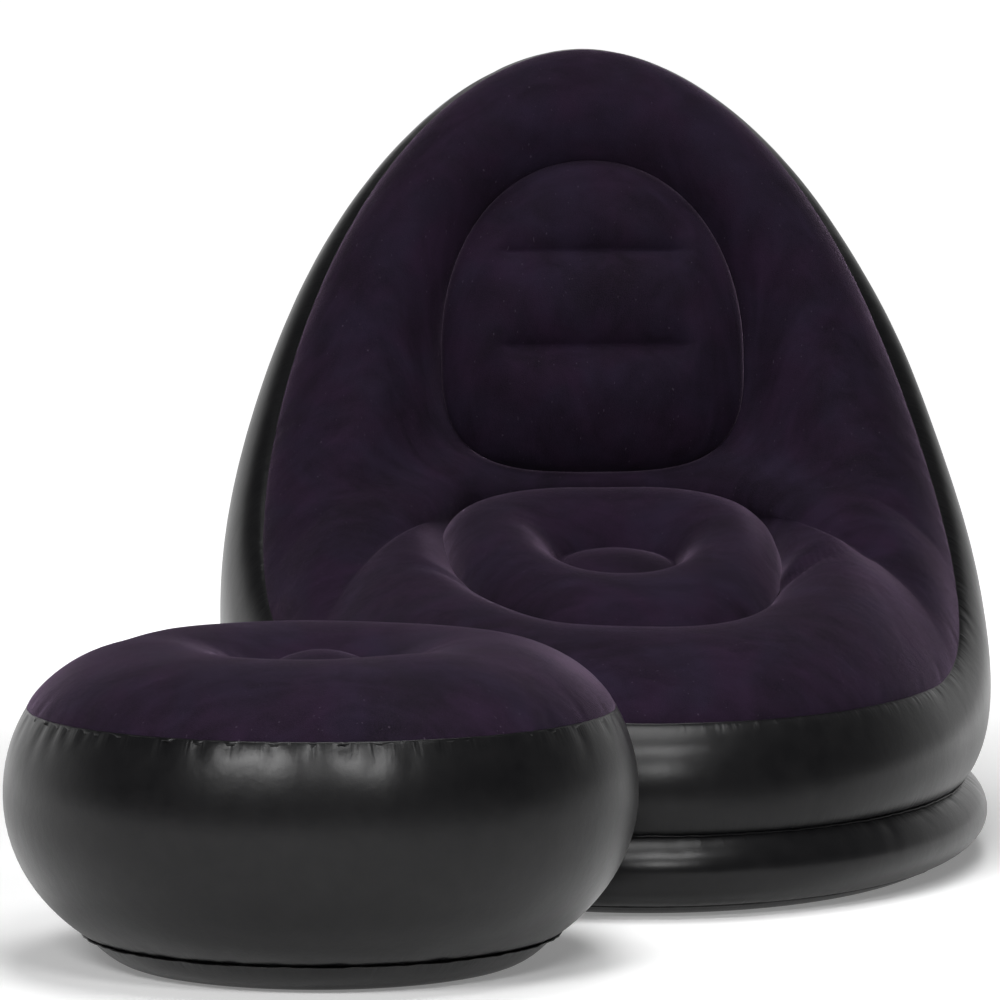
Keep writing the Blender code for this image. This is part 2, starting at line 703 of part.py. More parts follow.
def make_chair(parent):
    make_base(parent)
    wall, rows = make_wall(parent)
    make_surround(parent)
    make_seat(parent)
    make_pillow(parent)
    make_seat_backing(parent)
    make_pillow_backing(parent)
    make_seat_tube(parent)
    make_back_straps(wall, parent)
    make_valve("chair_valve", wall, rows, CHAIR_VALVE_SHARES, parent)


# Ottoman

def make_ottoman(parent):
    steps = OTTOMAN_STEPS
    low = circle(OTTOMAN_LOW_WELD_RADIUS, OTTOMAN_LOW_WELD_HEIGHT, steps)
    high = circle(OTTOMAN_WELD_RADIUS, OTTOMAN_TOP_WELD_HEIGHT, steps)
    floor_sheet("ottoman_bottom_sheet", low, circle(OTTOMAN_FLAT_RADIUS, 0, steps), parent)
    rows = swell(low, high, np.full(steps, OTTOMAN_WALL_BULGE), OTTOMAN_ROWS, fullness=OTTOMAN_WALL_SWELL_SHARE)
    rows = trim(rows, WELD_GAP, WELD_GAP)
    faces = grid_faces(len(rows), steps)
    wall = sheet("ottoman_side_wall", rows.reshape(-1, 3), faces, PVC_SHEET, PVC_LOOK, parent)
    make_ottoman_top(high, parent)
    make_ottoman_tube(parent)
    make_valve("ottoman_valve", wall, rows, OTTOMAN_VALVE_SHARES, parent)


def make_ottoman_top(weld, parent):
    puck = circle(OTTOMAN_PUCK_RADIUS, OTTOMAN_PUCK_HEIGHT, len(weld))
    torus = swell(weld, puck, np.full(len(weld), OTTOMAN_TOP_BULGE), OTTOMAN_ROWS)
    torus = trim(torus, WELD_GAP + FLOCKED_SHEET / 2, 0)
    crown, top = dome(puck, np.array([0, 0, 1]), OTTOMAN_PUCK_CROWN, PUCK_ROWS)
    points, faces = rows_with_centre([*torus, *crown], top)
    sheet("ottoman_flocked_top", points, faces, FLOCKED_SHEET, FLOCK_LOOK, parent)


def make_ottoman_tube(parent):
    """The tube that holds the top's puck down to the bottom sheet."""
    radius = OTTOMAN_PUCK_RADIUS - WELD_GAP
    foot = circle(radius, PVC_SHEET + WELD_GAP, OTTOMAN_STEPS)
    top = circle(radius, OTTOMAN_PUCK_HEIGHT - WEB_DROP, OTTOMAN_STEPS)
    faces = grid_faces(2, OTTOMAN_STEPS)
    sheet("ottoman_tie_tube", np.concatenate([foot, top]), faces, PVC_SHEET, INNER_LOOK, parent)


# Inflation valve

def turned(name, profile, parent, closed=False):
    """A solid turned about Z from its profile of radius and height."""
    points, faces, rings = [], [], []
    for radius, height in profile:
        count = VALVE_STEPS if radius > 0 else 1
        rings.append([len(points) + i % count for i in range(VALVE_STEPS)])
        points += list(circle(radius, height, VALVE_STEPS)[:count])
    for low, high in zip(rings, rings[1:] + (rings[:1] if closed else [])):
        for i in range(VALVE_STEPS):
            after = (i + 1) % VALVE_STEPS
            faces.append(tuple(dict.fromkeys((low[i], low[after], high[after], high[i]))))
    return solid(name, points, faces, VALVE_LOOK, parent)


def wall_frame(rows, shares):
    """The frame of one flat of a wall: Z out, with its origin just clear of the flat.

    The shares are of the way round the wall from its front over +X, and of the way up it.
    """
    column, row = int(shares[0] * rows.shape[1]), int(shares[1] * len(rows))
    corners = [Vector(rows[row + up][column + along]) for up, along in ((0, 0), (0, 1), (1, 1), (1, 0))]
    centre = sum(corners, Vector()) / 4
    out = (corners[2] - corners[0]).cross(corners[3] - corners[1]).normalized()
    up = (Vector((0, 0, 1)) - out * out.z).normalized()
    level = max((corner - centre).dot(out) for corner in corners)
    frame = Matrix((up.cross(out), up, out)).transposed().to_4x4()
    frame.translation = centre + out * (level + WELD_GAP)
    return frame


def make_valve(name, wall, rows, shares, parent):
    frame = wall_frame(rows, shares)
    punch(wall, frame, VALVE_STEM_RADIUS + VALVE_HOLE_CLEARANCE, VALVE_STEM_LENGTH)
    seat = empty(name, parent, frame)
    turned(f"{name}_body", valve_profile(), seat, closed=True)
    make_strap_ring(f"{name}_strap_ring", seat)
    make_stopper(f"{name}_stopper", seat)
    make_check_flap(f"{name}_check_flap", seat)


def valve_profile():
    return [
        (VALVE_BORE_RADIUS, -VALVE_STEM_LENGTH),
        (VALVE_STEM_RADIUS, -VALVE_STEM_LENGTH),
        (VALVE_STEM_RADIUS, 0),
        (VALVE_FLANGE_RADIUS, 0),
        (VALVE_FLANGE_RADIUS, VALVE_FLANGE_THICKNESS),
        (VALVE_NECK_RADIUS, VALVE_FLANGE_THICKNESS),
        (VALVE_NECK_RADIUS, VALVE_NECK_LENGTH),
        (VALVE_BORE_RADIUS, VALVE_NECK_LENGTH),
    ]


def hinge_place():
    """The stopper's hinge: just outside the strap ring, at the level of the stopper's underside."""
    return STRAP_RING_RADIUS + WELD_GAP, VALVE_NECK_LENGTH + WELD_GAP


def pull_faces(obj, chosen, way):
    """Extrudes the chosen faces of a turned solid by this vector."""
    mesh = bmesh.new()
    mesh.from_mesh(obj.data)
    mesh.normal_update()
    picked = [face for face in mesh.faces if chosen(face)]
    made = bmesh.ops.extrude_face_region(mesh, geom=picked)["geom"]
    moved = [part for part in made if isinstance(part, bmesh.types.BMVert)]
    bmesh.ops.translate(mesh, verts=moved, vec=way)
    bmesh.ops.delete(mesh, geom=[face for face in picked if face.is_valid], context="FACES_KEEP_BOUNDARY")
    mesh.to_mesh(obj.data)
    mesh.free()


def towards_hinge(middle):
    """Whether a turned solid's face lies on its two steps next to +X."""
    return middle.x > 0 and abs(math.atan2(middle.y, middle.x)) < 2 * math.pi / VALVE_STEPS


def make_strap_ring(name, seat):
    """A ring round the valve's neck, with a tab that stands up to the stopper's hinge."""
    low = VALVE_FLANGE_THICKNESS + WELD_GAP
    high = low + STRAP_THICKNESS
    bore, tab = VALVE_NECK_RADIUS + WELD_GAP, STRAP_RING_RADIUS - STRAP_THICKNESS
    profile = [(bore, low), (STRAP_RING_RADIUS, low), (STRAP_RING_RADIUS, high), (tab, high), (bore, high)]

    def on_tab(face):
        middle = face.calc_center_median()
        return face.normal.z > FLAT_FACE_SHARE and math.hypot(middle.x, middle.y) > tab and towards_hinge(middle)

    made = turned(name, profile, seat, closed=True)
    pull_faces(made, on_tab, Vector((0, 0, VALVE_NECK_LENGTH - high)))


def make_stopper(name, seat):
    """A cap with a tapered plug, and an arm that reaches to its hinge."""
    x, z = hinge_place()
    hinge = empty(f"{name}_hinge", seat, Matrix.Translation((x, 0, z)))
    profile = [
        (0, -STOPPER_PLUG_LENGTH),
        (STOPPER_TIP_RADIUS, -STOPPER_PLUG_LENGTH),
        (STOPPER_PLUG_RADIUS, 0),
        (STOPPER_RADIUS, 0),
        (STOPPER_RADIUS, STRAP_THICKNESS),
        (STOPPER_RADIUS, STOPPER_THICKNESS),
        (0, STOPPER_THICKNESS),
    ]

    def on_arm(face):
        middle = face.calc_center_median()
        return abs(face.normal.z) < FLAT_FACE_SHARE and 0 < middle.z < STRAP_THICKNESS and towards_hinge(middle)

    made = turned(name, profile, hinge)
    pull_faces(made, on_arm, Vector((x - STOPPER_RADIUS, 0, 0)))
    made.data.transform(Matrix.Translation((-x, 0, 0)))


def make_check_flap(name, seat):
    """A thin disc that closes the stem's inner end and swings inwards."""
    half = FLAP_THICKNESS / 2
    level = -VALVE_STEM_LENGTH - WELD_GAP - half
    hinge = empty(f"{name}_hinge", seat, Matrix.Translation((FLAP_RADIUS, 0, level)))
    made = turned(name, [(0, -half), (FLAP_RADIUS, -half), (FLAP_RADIUS, half), (0, half)], hinge)
    made.data.transform(Matrix.Translation((-FLAP_RADIUS, 0, 0)))


def centre_on_floor(root):
    """Puts the middle of the whole set's box over the origin, with its lowest point at zero."""
    bpy.context.view_layer.update()
    graph = bpy.context.evaluated_depsgraph_get()
    points = []
    for obj in bpy.context.scene.objects:
        if obj.type == "MESH" and not obj.hide_render:
            shape = obj.evaluated_get(graph)
            points += [shape.matrix_world @ vertex.co for vertex in shape.data.vertices]
    low, high = np.min(points, axis=0), np.max(points, axis=0)
    root.location = (-(low[0] + high[0]) / 2, -(low[1] + high[1]) / 2, -low[2])
    bpy.context.view_layer.update()


def main():
    clear_scene()
    root = empty("armchair_with_ottoman", None)
    make_chair(empty("armchair", root))
    make_ottoman(empty("ottoman", root, Matrix.Translation((*OTTOMAN_CENTRE, 0))))
    centre_on_floor(root)


main()
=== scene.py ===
"""Looks of the inflatable lounge chair and its round ottoman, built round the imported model.

Every sheet is a fine grid between its weld lines, in metres. A loop of points runs from the front
over +X to the rear and back over -X, as in the part's own source.
"""

import math

import bpy
import bmesh
import numpy as np
from mathutils import Matrix, Vector


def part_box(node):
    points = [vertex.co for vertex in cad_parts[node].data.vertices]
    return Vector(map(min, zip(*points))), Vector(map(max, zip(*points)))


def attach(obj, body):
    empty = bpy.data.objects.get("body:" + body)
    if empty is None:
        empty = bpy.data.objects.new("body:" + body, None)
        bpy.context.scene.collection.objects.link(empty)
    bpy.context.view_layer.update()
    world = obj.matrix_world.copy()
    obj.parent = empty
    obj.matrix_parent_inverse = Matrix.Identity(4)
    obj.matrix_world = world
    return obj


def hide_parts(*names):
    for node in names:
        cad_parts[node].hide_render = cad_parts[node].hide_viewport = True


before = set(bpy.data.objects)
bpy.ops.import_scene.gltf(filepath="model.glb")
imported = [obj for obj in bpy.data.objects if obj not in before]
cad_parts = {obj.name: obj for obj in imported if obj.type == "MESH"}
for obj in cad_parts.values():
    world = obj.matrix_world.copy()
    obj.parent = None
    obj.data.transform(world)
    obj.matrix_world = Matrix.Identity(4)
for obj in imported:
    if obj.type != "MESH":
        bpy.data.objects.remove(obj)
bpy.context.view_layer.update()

CHAIR_HALF_WIDTH = 0.381

# Chair base ring
BASE_SIDE_OFFSET = 0.017
BASE_FRONT_REACH = 0.602
BASE_REAR_REACH = 0.500
BASE_CORNER_SHARE = 2.0
BASE_WELD_HEIGHT = 0.012
BASE_WELD_INSET = 0.020
BASE_BULGE = 0.030
BASE_FLAT_INSET = 0.055
CREASE_HEIGHT = 0.085
CREASE_INSET = 0.014

# Line of the flocked top's edge
EDGE_FRONT_REACH = 0.554
EDGE_FRONT_HEIGHT = 0.195
EDGE_FRONT_RUN = 0.231
EDGE_FRONT_RISE_DEGREES = 1.1
EDGE_BEND_RADIUS = 0.554
EDGE_BACK_RISE_DEGREES = 74.1
EDGE_LENGTH = 1.210
EDGE_WIDEST_RUN = 0.565
EDGE_FRONT_SHARE = 2.0
EDGE_BACK_SHARE = 1.9
WALL_FRONT_BULGE = 0.022
WALL_SIDE_BULGE = 0.045
WALL_BACK_BULGE = 0.118
WALL_FRONT_SWELL_SHARE = 0.75
WALL_BACK_SWELL_SHARE = 0.50

# Surround roll and the ridge behind the seat
ROLL_FRONT_BULGE = 0.051
ROLL_SIDE_BULGE = 0.056
ROLL_HEAD_BULGE = 0.046
LUMBAR_BULGE = 0.022
SWELL_SHARE = 0.78

# Seat cushion
SEAT_SETBACK = 0.223
SEAT_STEP_UP = 0.055
SEAT_RISE_DEGREES = 13.5
SEAT_HALF_WIDTH = 0.183
SEAT_FRONT_REACH = 0.315
SEAT_REAR_REACH = 0.151
SEAT_FRONT_SHARE = 2.2
SEAT_REAR_SHARE = 3.0
SEAT_FRONT_BULGE = 0.040
SEAT_SIDE_BULGE = 0.044
SEAT_REAR_BULGE = 0.040
PUCK_RADIUS = 0.066
PUCK_RUN = 0.251
PUCK_CROWN = 0.014
SEAT_CORNER_DEGREES = 42

# Back pillow
PILLOW_SETBACK = 0.696
PILLOW_STEP_UP = 0.198
PILLOW_RISE_DEGREES = 79.5
PILLOW_HALF_WIDTH = 0.171
PILLOW_BOTTOM_REACH = 0.135
PILLOW_TOP_REACH = 0.219
PILLOW_BOTTOM_SHARE = 3.2
PILLOW_TOP_SHARE = 2.1
PILLOW_CROWN = 0.056
PILLOW_LOW_CORNER_DEGREES = -42
PILLOW_HIGH_CORNER_DEGREES = 52
PILLOW_CROWN_SHARES = (2.6, 2.4, 0.62)
CHANNEL_HEIGHTS = (0.140, 0.248)
CHANNEL_HALF_LENGTH = 0.118
CHANNEL_DEPTH = 0.022
# The visible sheet lies this much higher at the ends, clear of the inner webs' edges
CHANNEL_LIFT = 0.0044
CHANNEL_WIDTH = 0.020
CHANNEL_FADE = 0.030

# Ottoman
OTTOMAN_WELD_RADIUS = 0.286
OTTOMAN_TOP_WELD_HEIGHT = 0.249
OTTOMAN_LOW_WELD_RADIUS = 0.230
OTTOMAN_LOW_WELD_HEIGHT = 0.030
OTTOMAN_FLAT_RADIUS = 0.180
OTTOMAN_WALL_BULGE = 0.048
OTTOMAN_WALL_SWELL_SHARE = 0.89
OTTOMAN_TOP_BULGE = 0.050
OTTOMAN_PUCK_RADIUS = 0.070
OTTOMAN_PUCK_HEIGHT = 0.276
OTTOMAN_PUCK_CROWN = 0.028

# Fineness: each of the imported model's steps is divided into this many
FINE = 8
SEAT_SIDE_STEPS = 10 * FINE
SEAT_REAR_STEPS = 5 * FINE
LUMBAR_STEPS = 4 * FINE
PILLOW_EDGE_STEPS = 5 * FINE
HALF_STEPS = 30 * FINE
SOFT_PASSES = 8 * FINE * FINE
ROLL_ROWS = 30
WALL_ROWS = 34
BASE_ROWS = 18
SEAT_ROWS = 26
PUCK_ROWS = 10
OTTOMAN_STEPS = 336
OTTOMAN_ROWS = 30
FINE_STEPS = 2400
QUARTER = math.pi / 2

# Folds of the surround beside the seat: start and end in plan, depth, width and share of the ridge behind
SEAT_FOLDS = (
    ((0.172, -0.172), (0.305, -0.062), 0.0072, 0.0120, 0.50),
    ((-0.168, -0.190), (-0.262, -0.150), 0.0032, 0.0110, 0.40),
)
RIDGE_RELAX_REACH = 0.080
RIDGE_RELAX_PASSES = 220

# Where the chair's and the ottoman's own middle lie in the model
DIVIDER_LOW, DIVIDER_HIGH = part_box("base_divider_sheet")
OTTOMAN_LOW, OTTOMAN_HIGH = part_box("ottoman_flocked_top")
CHAIR_MIDDLE = np.array(
    (
        (DIVIDER_LOW.x + DIVIDER_HIGH.x) / 2,
        (DIVIDER_LOW.y + DIVIDER_HIGH.y + BASE_FRONT_REACH - BASE_REAR_REACH) / 2,
        0,
    )
)
OTTOMAN_MIDDLE = np.array(((OTTOMAN_LOW.x + OTTOMAN_HIGH.x) / 2, (OTTOMAN_LOW.y + OTTOMAN_HIGH.y) / 2, 0))

# Creases beside a weld: their pitch along it, their depth and how far they reach
BASE_LOW_CREASES = (0.06, 0.0008, 0.012)
BASE_HIGH_CREASES = (0.055, 0.0019, 0.017)
WALL_LOW_CREASES = (0.060, 0.0010, 0.018)
WALL_HIGH_CREASES = (0.058, 0.0011, 0.016)
ROLL_EDGE_CREASES = (0.045, 0.0014, 0.020)
ROLL_INNER_CREASES = (0.032, 0.0012, 0.016)
SEAT_EDGE_CREASES = (0.030, 0.0012, 0.015)
SEAT_PUCK_CREASES = (0.026, 0.0011, 0.020)
OTTOMAN_LOW_CREASES = (0.050, 0.0010, 0.018)
OTTOMAN_HIGH_CREASES = (0.028, 0.0024, 0.019)
OTTOMAN_EDGE_CREASES = (0.034, 0.0018, 0.026)
OTTOMAN_PUCK_CREASES = (0.030, 0.0016, 0.045)
CHANNEL_CREASE_PITCH = 0.021
CHANNEL_CREASE_DEPTH = 0.0009

# Slow waves of a sheet: their size and depth
WALL_WAVE_SIZE = 0.34
BASE_WAVE_DEPTH = 0.0010
BODY_WAVE_DEPTH = 0.0016
OTTOMAN_WAVE_DEPTH = 0.0014
ROLL_WAVES = (0.22, 0.0020)
SEAT_WAVES = (0.15, 0.0012)
PILLOW_WAVES = (0.13, 0.0010)
OTTOMAN_TOP_WAVES = (0.2, 0.0016)

# Weld flanges: width and thickness, and the count of points round one
BASE_FLANGE = (0.0045, 0.0014)
CREASE_FLANGE = (0.004, 0.0014)
TOP_FLANGE = (0.0048, 0.0016)
OTTOMAN_TOP_FLANGE = (0.0045, 0.0016)
FLANGE_SIDES = 8

# Small gaps and holes
FLOOR_GAP = 0.0004
DOUBLES_DISTANCE = 0.0004
VALVE_HOLE_RADIUS = 0.0075

# Studio: where the floor's own glow grows, and the lamps' place, aim, size, power and spread
FLOOR_RINGS = (400.0, 20.0, 3.0)
FLOOR_SIDES = 96
FLOOR_GLOW_OUTWARDS = (0.8, 2.4, 0.22, 1.0)
FLOOR_GLOW_BACKWARDS = (-3.0, 0.0, 0.50, 1.0)
WORLD_WHITE = (("Y", 0.0, 0.7, 0.0, 0.9), ("X", 0.2, 0.8, 1.0, 0.6), ("Z", 0.2, 0.6, 1.0, 0.0))
WORLD_LEVEL = 0.10
LAMPS = {
    "left_box": ((-1.65, -3.00, 2.00), (-0.36, -0.75, 0.20), (1.2, 0.36), 50, 180),
    "right_box": ((0.20, -3.20, 2.05), (-0.16, -0.75, 0.20), (0.9, 0.36), 32, 180),
    "strip_box": ((0.25, -1.65, 2.35), (0.20, -0.30, 0.08), (1.2, 0.30), 4, 70),
    "top_box": ((0.05, -0.15, 3.50), (0.05, -0.15, 0), (1.8, 1.8), 62, 180),
}

# Camera, as measured in the photograph from the chair's own middle
CAMERA_DISTANCE = 7.0
CAMERA_HEIGHT = 1.0
CAMERA_TURN = 0.1102
CAMERA_PAN = -0.0171
CAMERA_PITCH = 0.0891
CAMERA_FOCUS_SHARE = 6.3806
SENSOR_WIDTH = 36


# Loops of points


def oval(angle, half_width, front, rear, front_share, rear_share):
    power = np.where(angle > 0, rear_share, front_share)
    reach = np.where(angle > 0, rear, front)
    across = half_width * np.maximum(np.cos(angle), 0) ** (2 / power)
    return across, np.copysign(reach * np.abs(np.sin(angle)) ** (2 / power), angle)


def evenly(curve, steps):
    """Half a loop as points at equal distances along the curve."""
    fine = curve(np.linspace(-QUARTER, QUARTER, FINE_STEPS + 1))
    run = np.concatenate([[0], np.cumsum(np.linalg.norm(np.diff(fine, axis=0), axis=1))])
    wanted = np.linspace(0, run[-1], steps + 1)
    return np.stack([np.interp(wanted, run, fine[:, axis]) for axis in range(3)], axis=1)


def whole(half):
    return np.concatenate([half, half[-2:0:-1] * np.array([-1, 1, 1])])


def whole_values(half):
    return np.concatenate([half, half[-2:0:-1]])


def circle(radius, height, steps):
    angles = np.arange(steps) * 2 * math.pi / steps - QUARTER
    return np.stack([radius * np.cos(angles), radius * np.sin(angles), np.full(steps, height)], axis=1)


def edge_point(angle):
    """The flocked top's edge: its plan is an oval that lies on a line bent upwards at the back."""
    reach_back = EDGE_LENGTH - EDGE_WIDEST_RUN
    across, run = oval(
        angle, CHAIR_HALF_WIDTH, EDGE_WIDEST_RUN, reach_back, EDGE_FRONT_SHARE, EDGE_BACK_SHARE
    )
    run = run + EDGE_WIDEST_RUN
    low, high = math.radians(EDGE_FRONT_RISE_DEGREES), math.radians(EDGE_BACK_RISE_DEGREES)
    front = np.minimum(run, EDGE_FRONT_RUN)
    bend = np.minimum(run - front, EDGE_BEND_RADIUS * (high - low))
    rise = low + bend / EDGE_BEND_RADIUS
    back = run - front - bend
    y = front * math.cos(low) + EDGE_BEND_RADIUS * (np.sin(rise) - math.sin(low)) + back * math.cos(high)
    z = front * math.sin(low) + EDGE_BEND_RADIUS * (math.cos(low) - np.cos(rise)) + back * math.sin(high)
    return np.stack([across, y - EDGE_FRONT_REACH, z + EDGE_FRONT_HEIGHT], axis=1)


def base_loop(inset, height):
    def point(angle):
        across, along = oval(
            angle, CHAIR_HALF_WIDTH + BASE_SIDE_OFFSET - inset, BASE_FRONT_REACH - inset, BASE_REAR_REACH - inset,
            BASE_CORNER_SHARE, BASE_CORNER_SHARE,
        )
        return np.stack([across, along, np.full(len(across), height)], axis=1)
    return whole(evenly(point, HALF_STEPS))


def plane(setback, step_up, rise_degrees):
    """Axes and origin of a cushion's plane: X across, Y up it from its lowest weld, Z out."""
    rise = math.radians(rise_degrees)
    axes = np.array([(1, 0, 0), (0, math.cos(rise), math.sin(rise)), (0, -math.sin(rise), math.cos(rise))])
    return axes, np.array((0, setback - EDGE_FRONT_REACH, EDGE_FRONT_HEIGHT + step_up))


SEAT_PLANE = plane(SEAT_SETBACK, SEAT_STEP_UP, SEAT_RISE_DEGREES)
PILLOW_PLANE = plane(PILLOW_SETBACK, PILLOW_STEP_UP, PILLOW_RISE_DEGREES)


def on(where, places):
    axes, origin = where
    return np.asarray(places) @ axes + origin


def seat_outline(angle):
    across, along = oval(
        angle, SEAT_HALF_WIDTH, SEAT_FRONT_REACH, SEAT_REAR_REACH, SEAT_FRONT_SHARE, SEAT_REAR_SHARE
    )
    return np.stack([across, along + SEAT_FRONT_REACH, np.zeros(len(across))], axis=1)


def pillow_outline(angle):
    across, along = oval(
        angle, PILLOW_HALF_WIDTH, PILLOW_BOTTOM_REACH, PILLOW_TOP_REACH, PILLOW_BOTTOM_SHARE, PILLOW_TOP_SHARE
    )
    return np.stack([across, along + PILLOW_BOTTOM_REACH, np.zeros(len(across))], axis=1)


def pillow_angle(height):
    along = height - PILLOW_BOTTOM_REACH
    reach = np.where(along > 0, PILLOW_TOP_REACH, PILLOW_BOTTOM_REACH)
    power = np.where(along > 0, PILLOW_TOP_SHARE, PILLOW_BOTTOM_SHARE)
    return np.copysign(np.arcsin(np.minimum((np.abs(along) / reach), 1) ** (power / 2)), along)


def seat_angles():
    corner = math.radians(SEAT_CORNER_DEGREES)
    side = np.linspace(-QUARTER, corner, SEAT_SIDE_STEPS + 1)
    return np.concatenate([side, np.linspace(corner, QUARTER, SEAT_REAR_STEPS + 1)[1:]])


def pillow_row_heights():
    ends = np.radians([PILLOW_LOW_CORNER_DEGREES, PILLOW_HIGH_CORNER_DEGREES])
    low, high = pillow_outline(ends)[:, 1]
    lower, upper = CHANNEL_HEIGHTS
    rows = [*np.linspace(low, lower - CHANNEL_WIDTH, 4), lower, lower + CHANNEL_WIDTH]
    rows += [(lower + upper) / 2, upper - CHANNEL_WIDTH, upper]
    rows += [*np.linspace(upper + CHANNEL_WIDTH, high, 3)]
    steps = len(rows) - 1
    return np.interp(np.arange(steps * FINE + 1) / FINE, np.arange(steps + 1), rows)


def pillow_angles():
    low, high = math.radians(PILLOW_LOW_CORNER_DEGREES), math.radians(PILLOW_HIGH_CORNER_DEGREES)
    turns = np.sin(np.linspace(0, QUARTER, PILLOW_EDGE_STEPS + 1))
    side = pillow_angle(pillow_row_heights()[1:-1])
    return np.concatenate([(low + QUARTER) * turns - QUARTER, side, QUARTER + (high - QUARTER) * turns[::-1]])


# Sheets between loops


def softened(values, passes):
    for _ in range(passes):
        values = (np.roll(values, 1, axis=0) + 2 * values + np.roll(values, -1, axis=0)) / 4
    return values


def swell(lower, upper, bulge, rows, fullness=SWELL_SHARE, closed=True, eased=0, passes=0):
    """Rows of points between two weld lines, blown outwards by each column's bulge."""
    middle = lower + upper
    tangent = np.gradient(middle, axis=0)
    if closed:
        tangent = np.roll(middle, -1, axis=0) - np.roll(middle, 1, axis=0)
    out = np.cross(tangent, upper - lower)
    out = softened(out / np.linalg.norm(out, axis=1)[:, None], passes)
    out /= np.linalg.norm(out, axis=1)[:, None]
    share = ((1 - np.cos(np.pi * np.arange(rows + 1) / rows)) / 2)[:, None]
    full = (4 * share * (1 - share)) ** fullness
    soft = 27 / 4 * share * (1 - share) ** 2
    rise = bulge * (full + (soft - full) * eased)
    return lower + (upper - lower) * share[..., None] + out * rise[..., None]


def outward(rows):
    """The unit normal at each point of a grid whose columns close on themselves."""
    along = np.roll(rows, -1, axis=1) - np.roll(rows, 1, axis=1)
    normal = np.cross(along, np.gradient(rows, axis=0))
    return normal / np.maximum(np.linalg.norm(normal, axis=2), 1e-9)[..., None]


def distances(rows):
    """Each point's distance from the first row, measured up its own column."""
    steps = np.linalg.norm(np.diff(rows, axis=0), axis=2)
    return np.concatenate([np.zeros((1, rows.shape[1])), np.cumsum(steps, axis=0)])


def run_of(loop):
    """Distance along a loop, and its whole length."""
    steps = np.linalg.norm(np.roll(loop, -1, axis=0) - loop, axis=1)
    return np.concatenate([[0], np.cumsum(steps)[:-1]]), steps.sum()


def puckers(loop, near, pitch, depth, reach, seed, width=0.0045):
    """How far a sheet is drawn in beside a weld: separate creases that start at it and fade out."""
    rng = np.random.default_rng(seed)
    run, length = run_of(loop)
    count = max(int(length / pitch), 3)
    places = np.cumsum(rng.uniform(0.35, 1.65, count))
    places = places / places[-1] * length
    pull = np.zeros(near.shape)
    start = 1 - np.exp(-near / 0.003)
    for place in places:
        strength = rng.uniform(0.15, 1) ** 1.3
        far = reach * rng.uniform(0.35, 1.7)
        lean = rng.uniform(-0.35, 0.35)
        gap = run[None] - place - lean * near
        gap = (gap + length / 2) % length - length / 2
        wide = width * (1 + near / far)
        pull += strength * np.exp(-(gap / wide) ** 2 - (near / far) ** 1.6)
    return -depth * pull * start


def waves(points, size, depth, seed):
    """A slow unevenness of the sheet, the same at every place for one seed."""
    rng = np.random.default_rng(seed)
    total = np.zeros(points.shape[:-1])
    for _ in range(9):
        way = rng.normal(size=3)
        way *= 2 * math.pi / size * rng.uniform(0.6, 1.7) / np.linalg.norm(way)
        total += np.sin(points @ way + rng.uniform(0, 2 * math.pi)) * rng.uniform(0.4, 1)
    return depth * total / 3


def held(near, distance):
    """Zero at a weld, one at this distance from it and on."""
    share = np.clip(near / distance, 0, 1)
    return share * share * (3 - 2 * share)


def grid_faces(rows, columns, closed=True, start=0):
    across = columns if closed else columns - 1
    row, column = np.meshgrid(np.arange(rows - 1), np.arange(across), indexing="ij")
    after = (column + 1) % columns
    low, high = start + row * columns, start + (row + 1) * columns
    return np.stack([low + column, low + after, high + after, high + column], axis=-1).reshape(-1, 4).tolist()


def rows_with_centre(rows, centre):
    rows = np.asarray(rows)
    count, columns = rows.shape[:2]
    last = (count - 1) * columns
    faces = grid_faces(count, columns)
    faces += [(last + j, last + (j + 1) % columns, count * columns) for j in range(columns)]
    return np.concatenate([rows.reshape(-1, 3), [centre]]), faces


def dome(loop, axis, crown, rows):
    centre = loop.mean(axis=0)
    shares = 1 - np.arange(1, rows) / rows
    made = [centre + (loop - centre) * share + axis * crown * (1 - share ** 2) for share in shares]
    return np.array(made), centre + axis * crown


# Materials


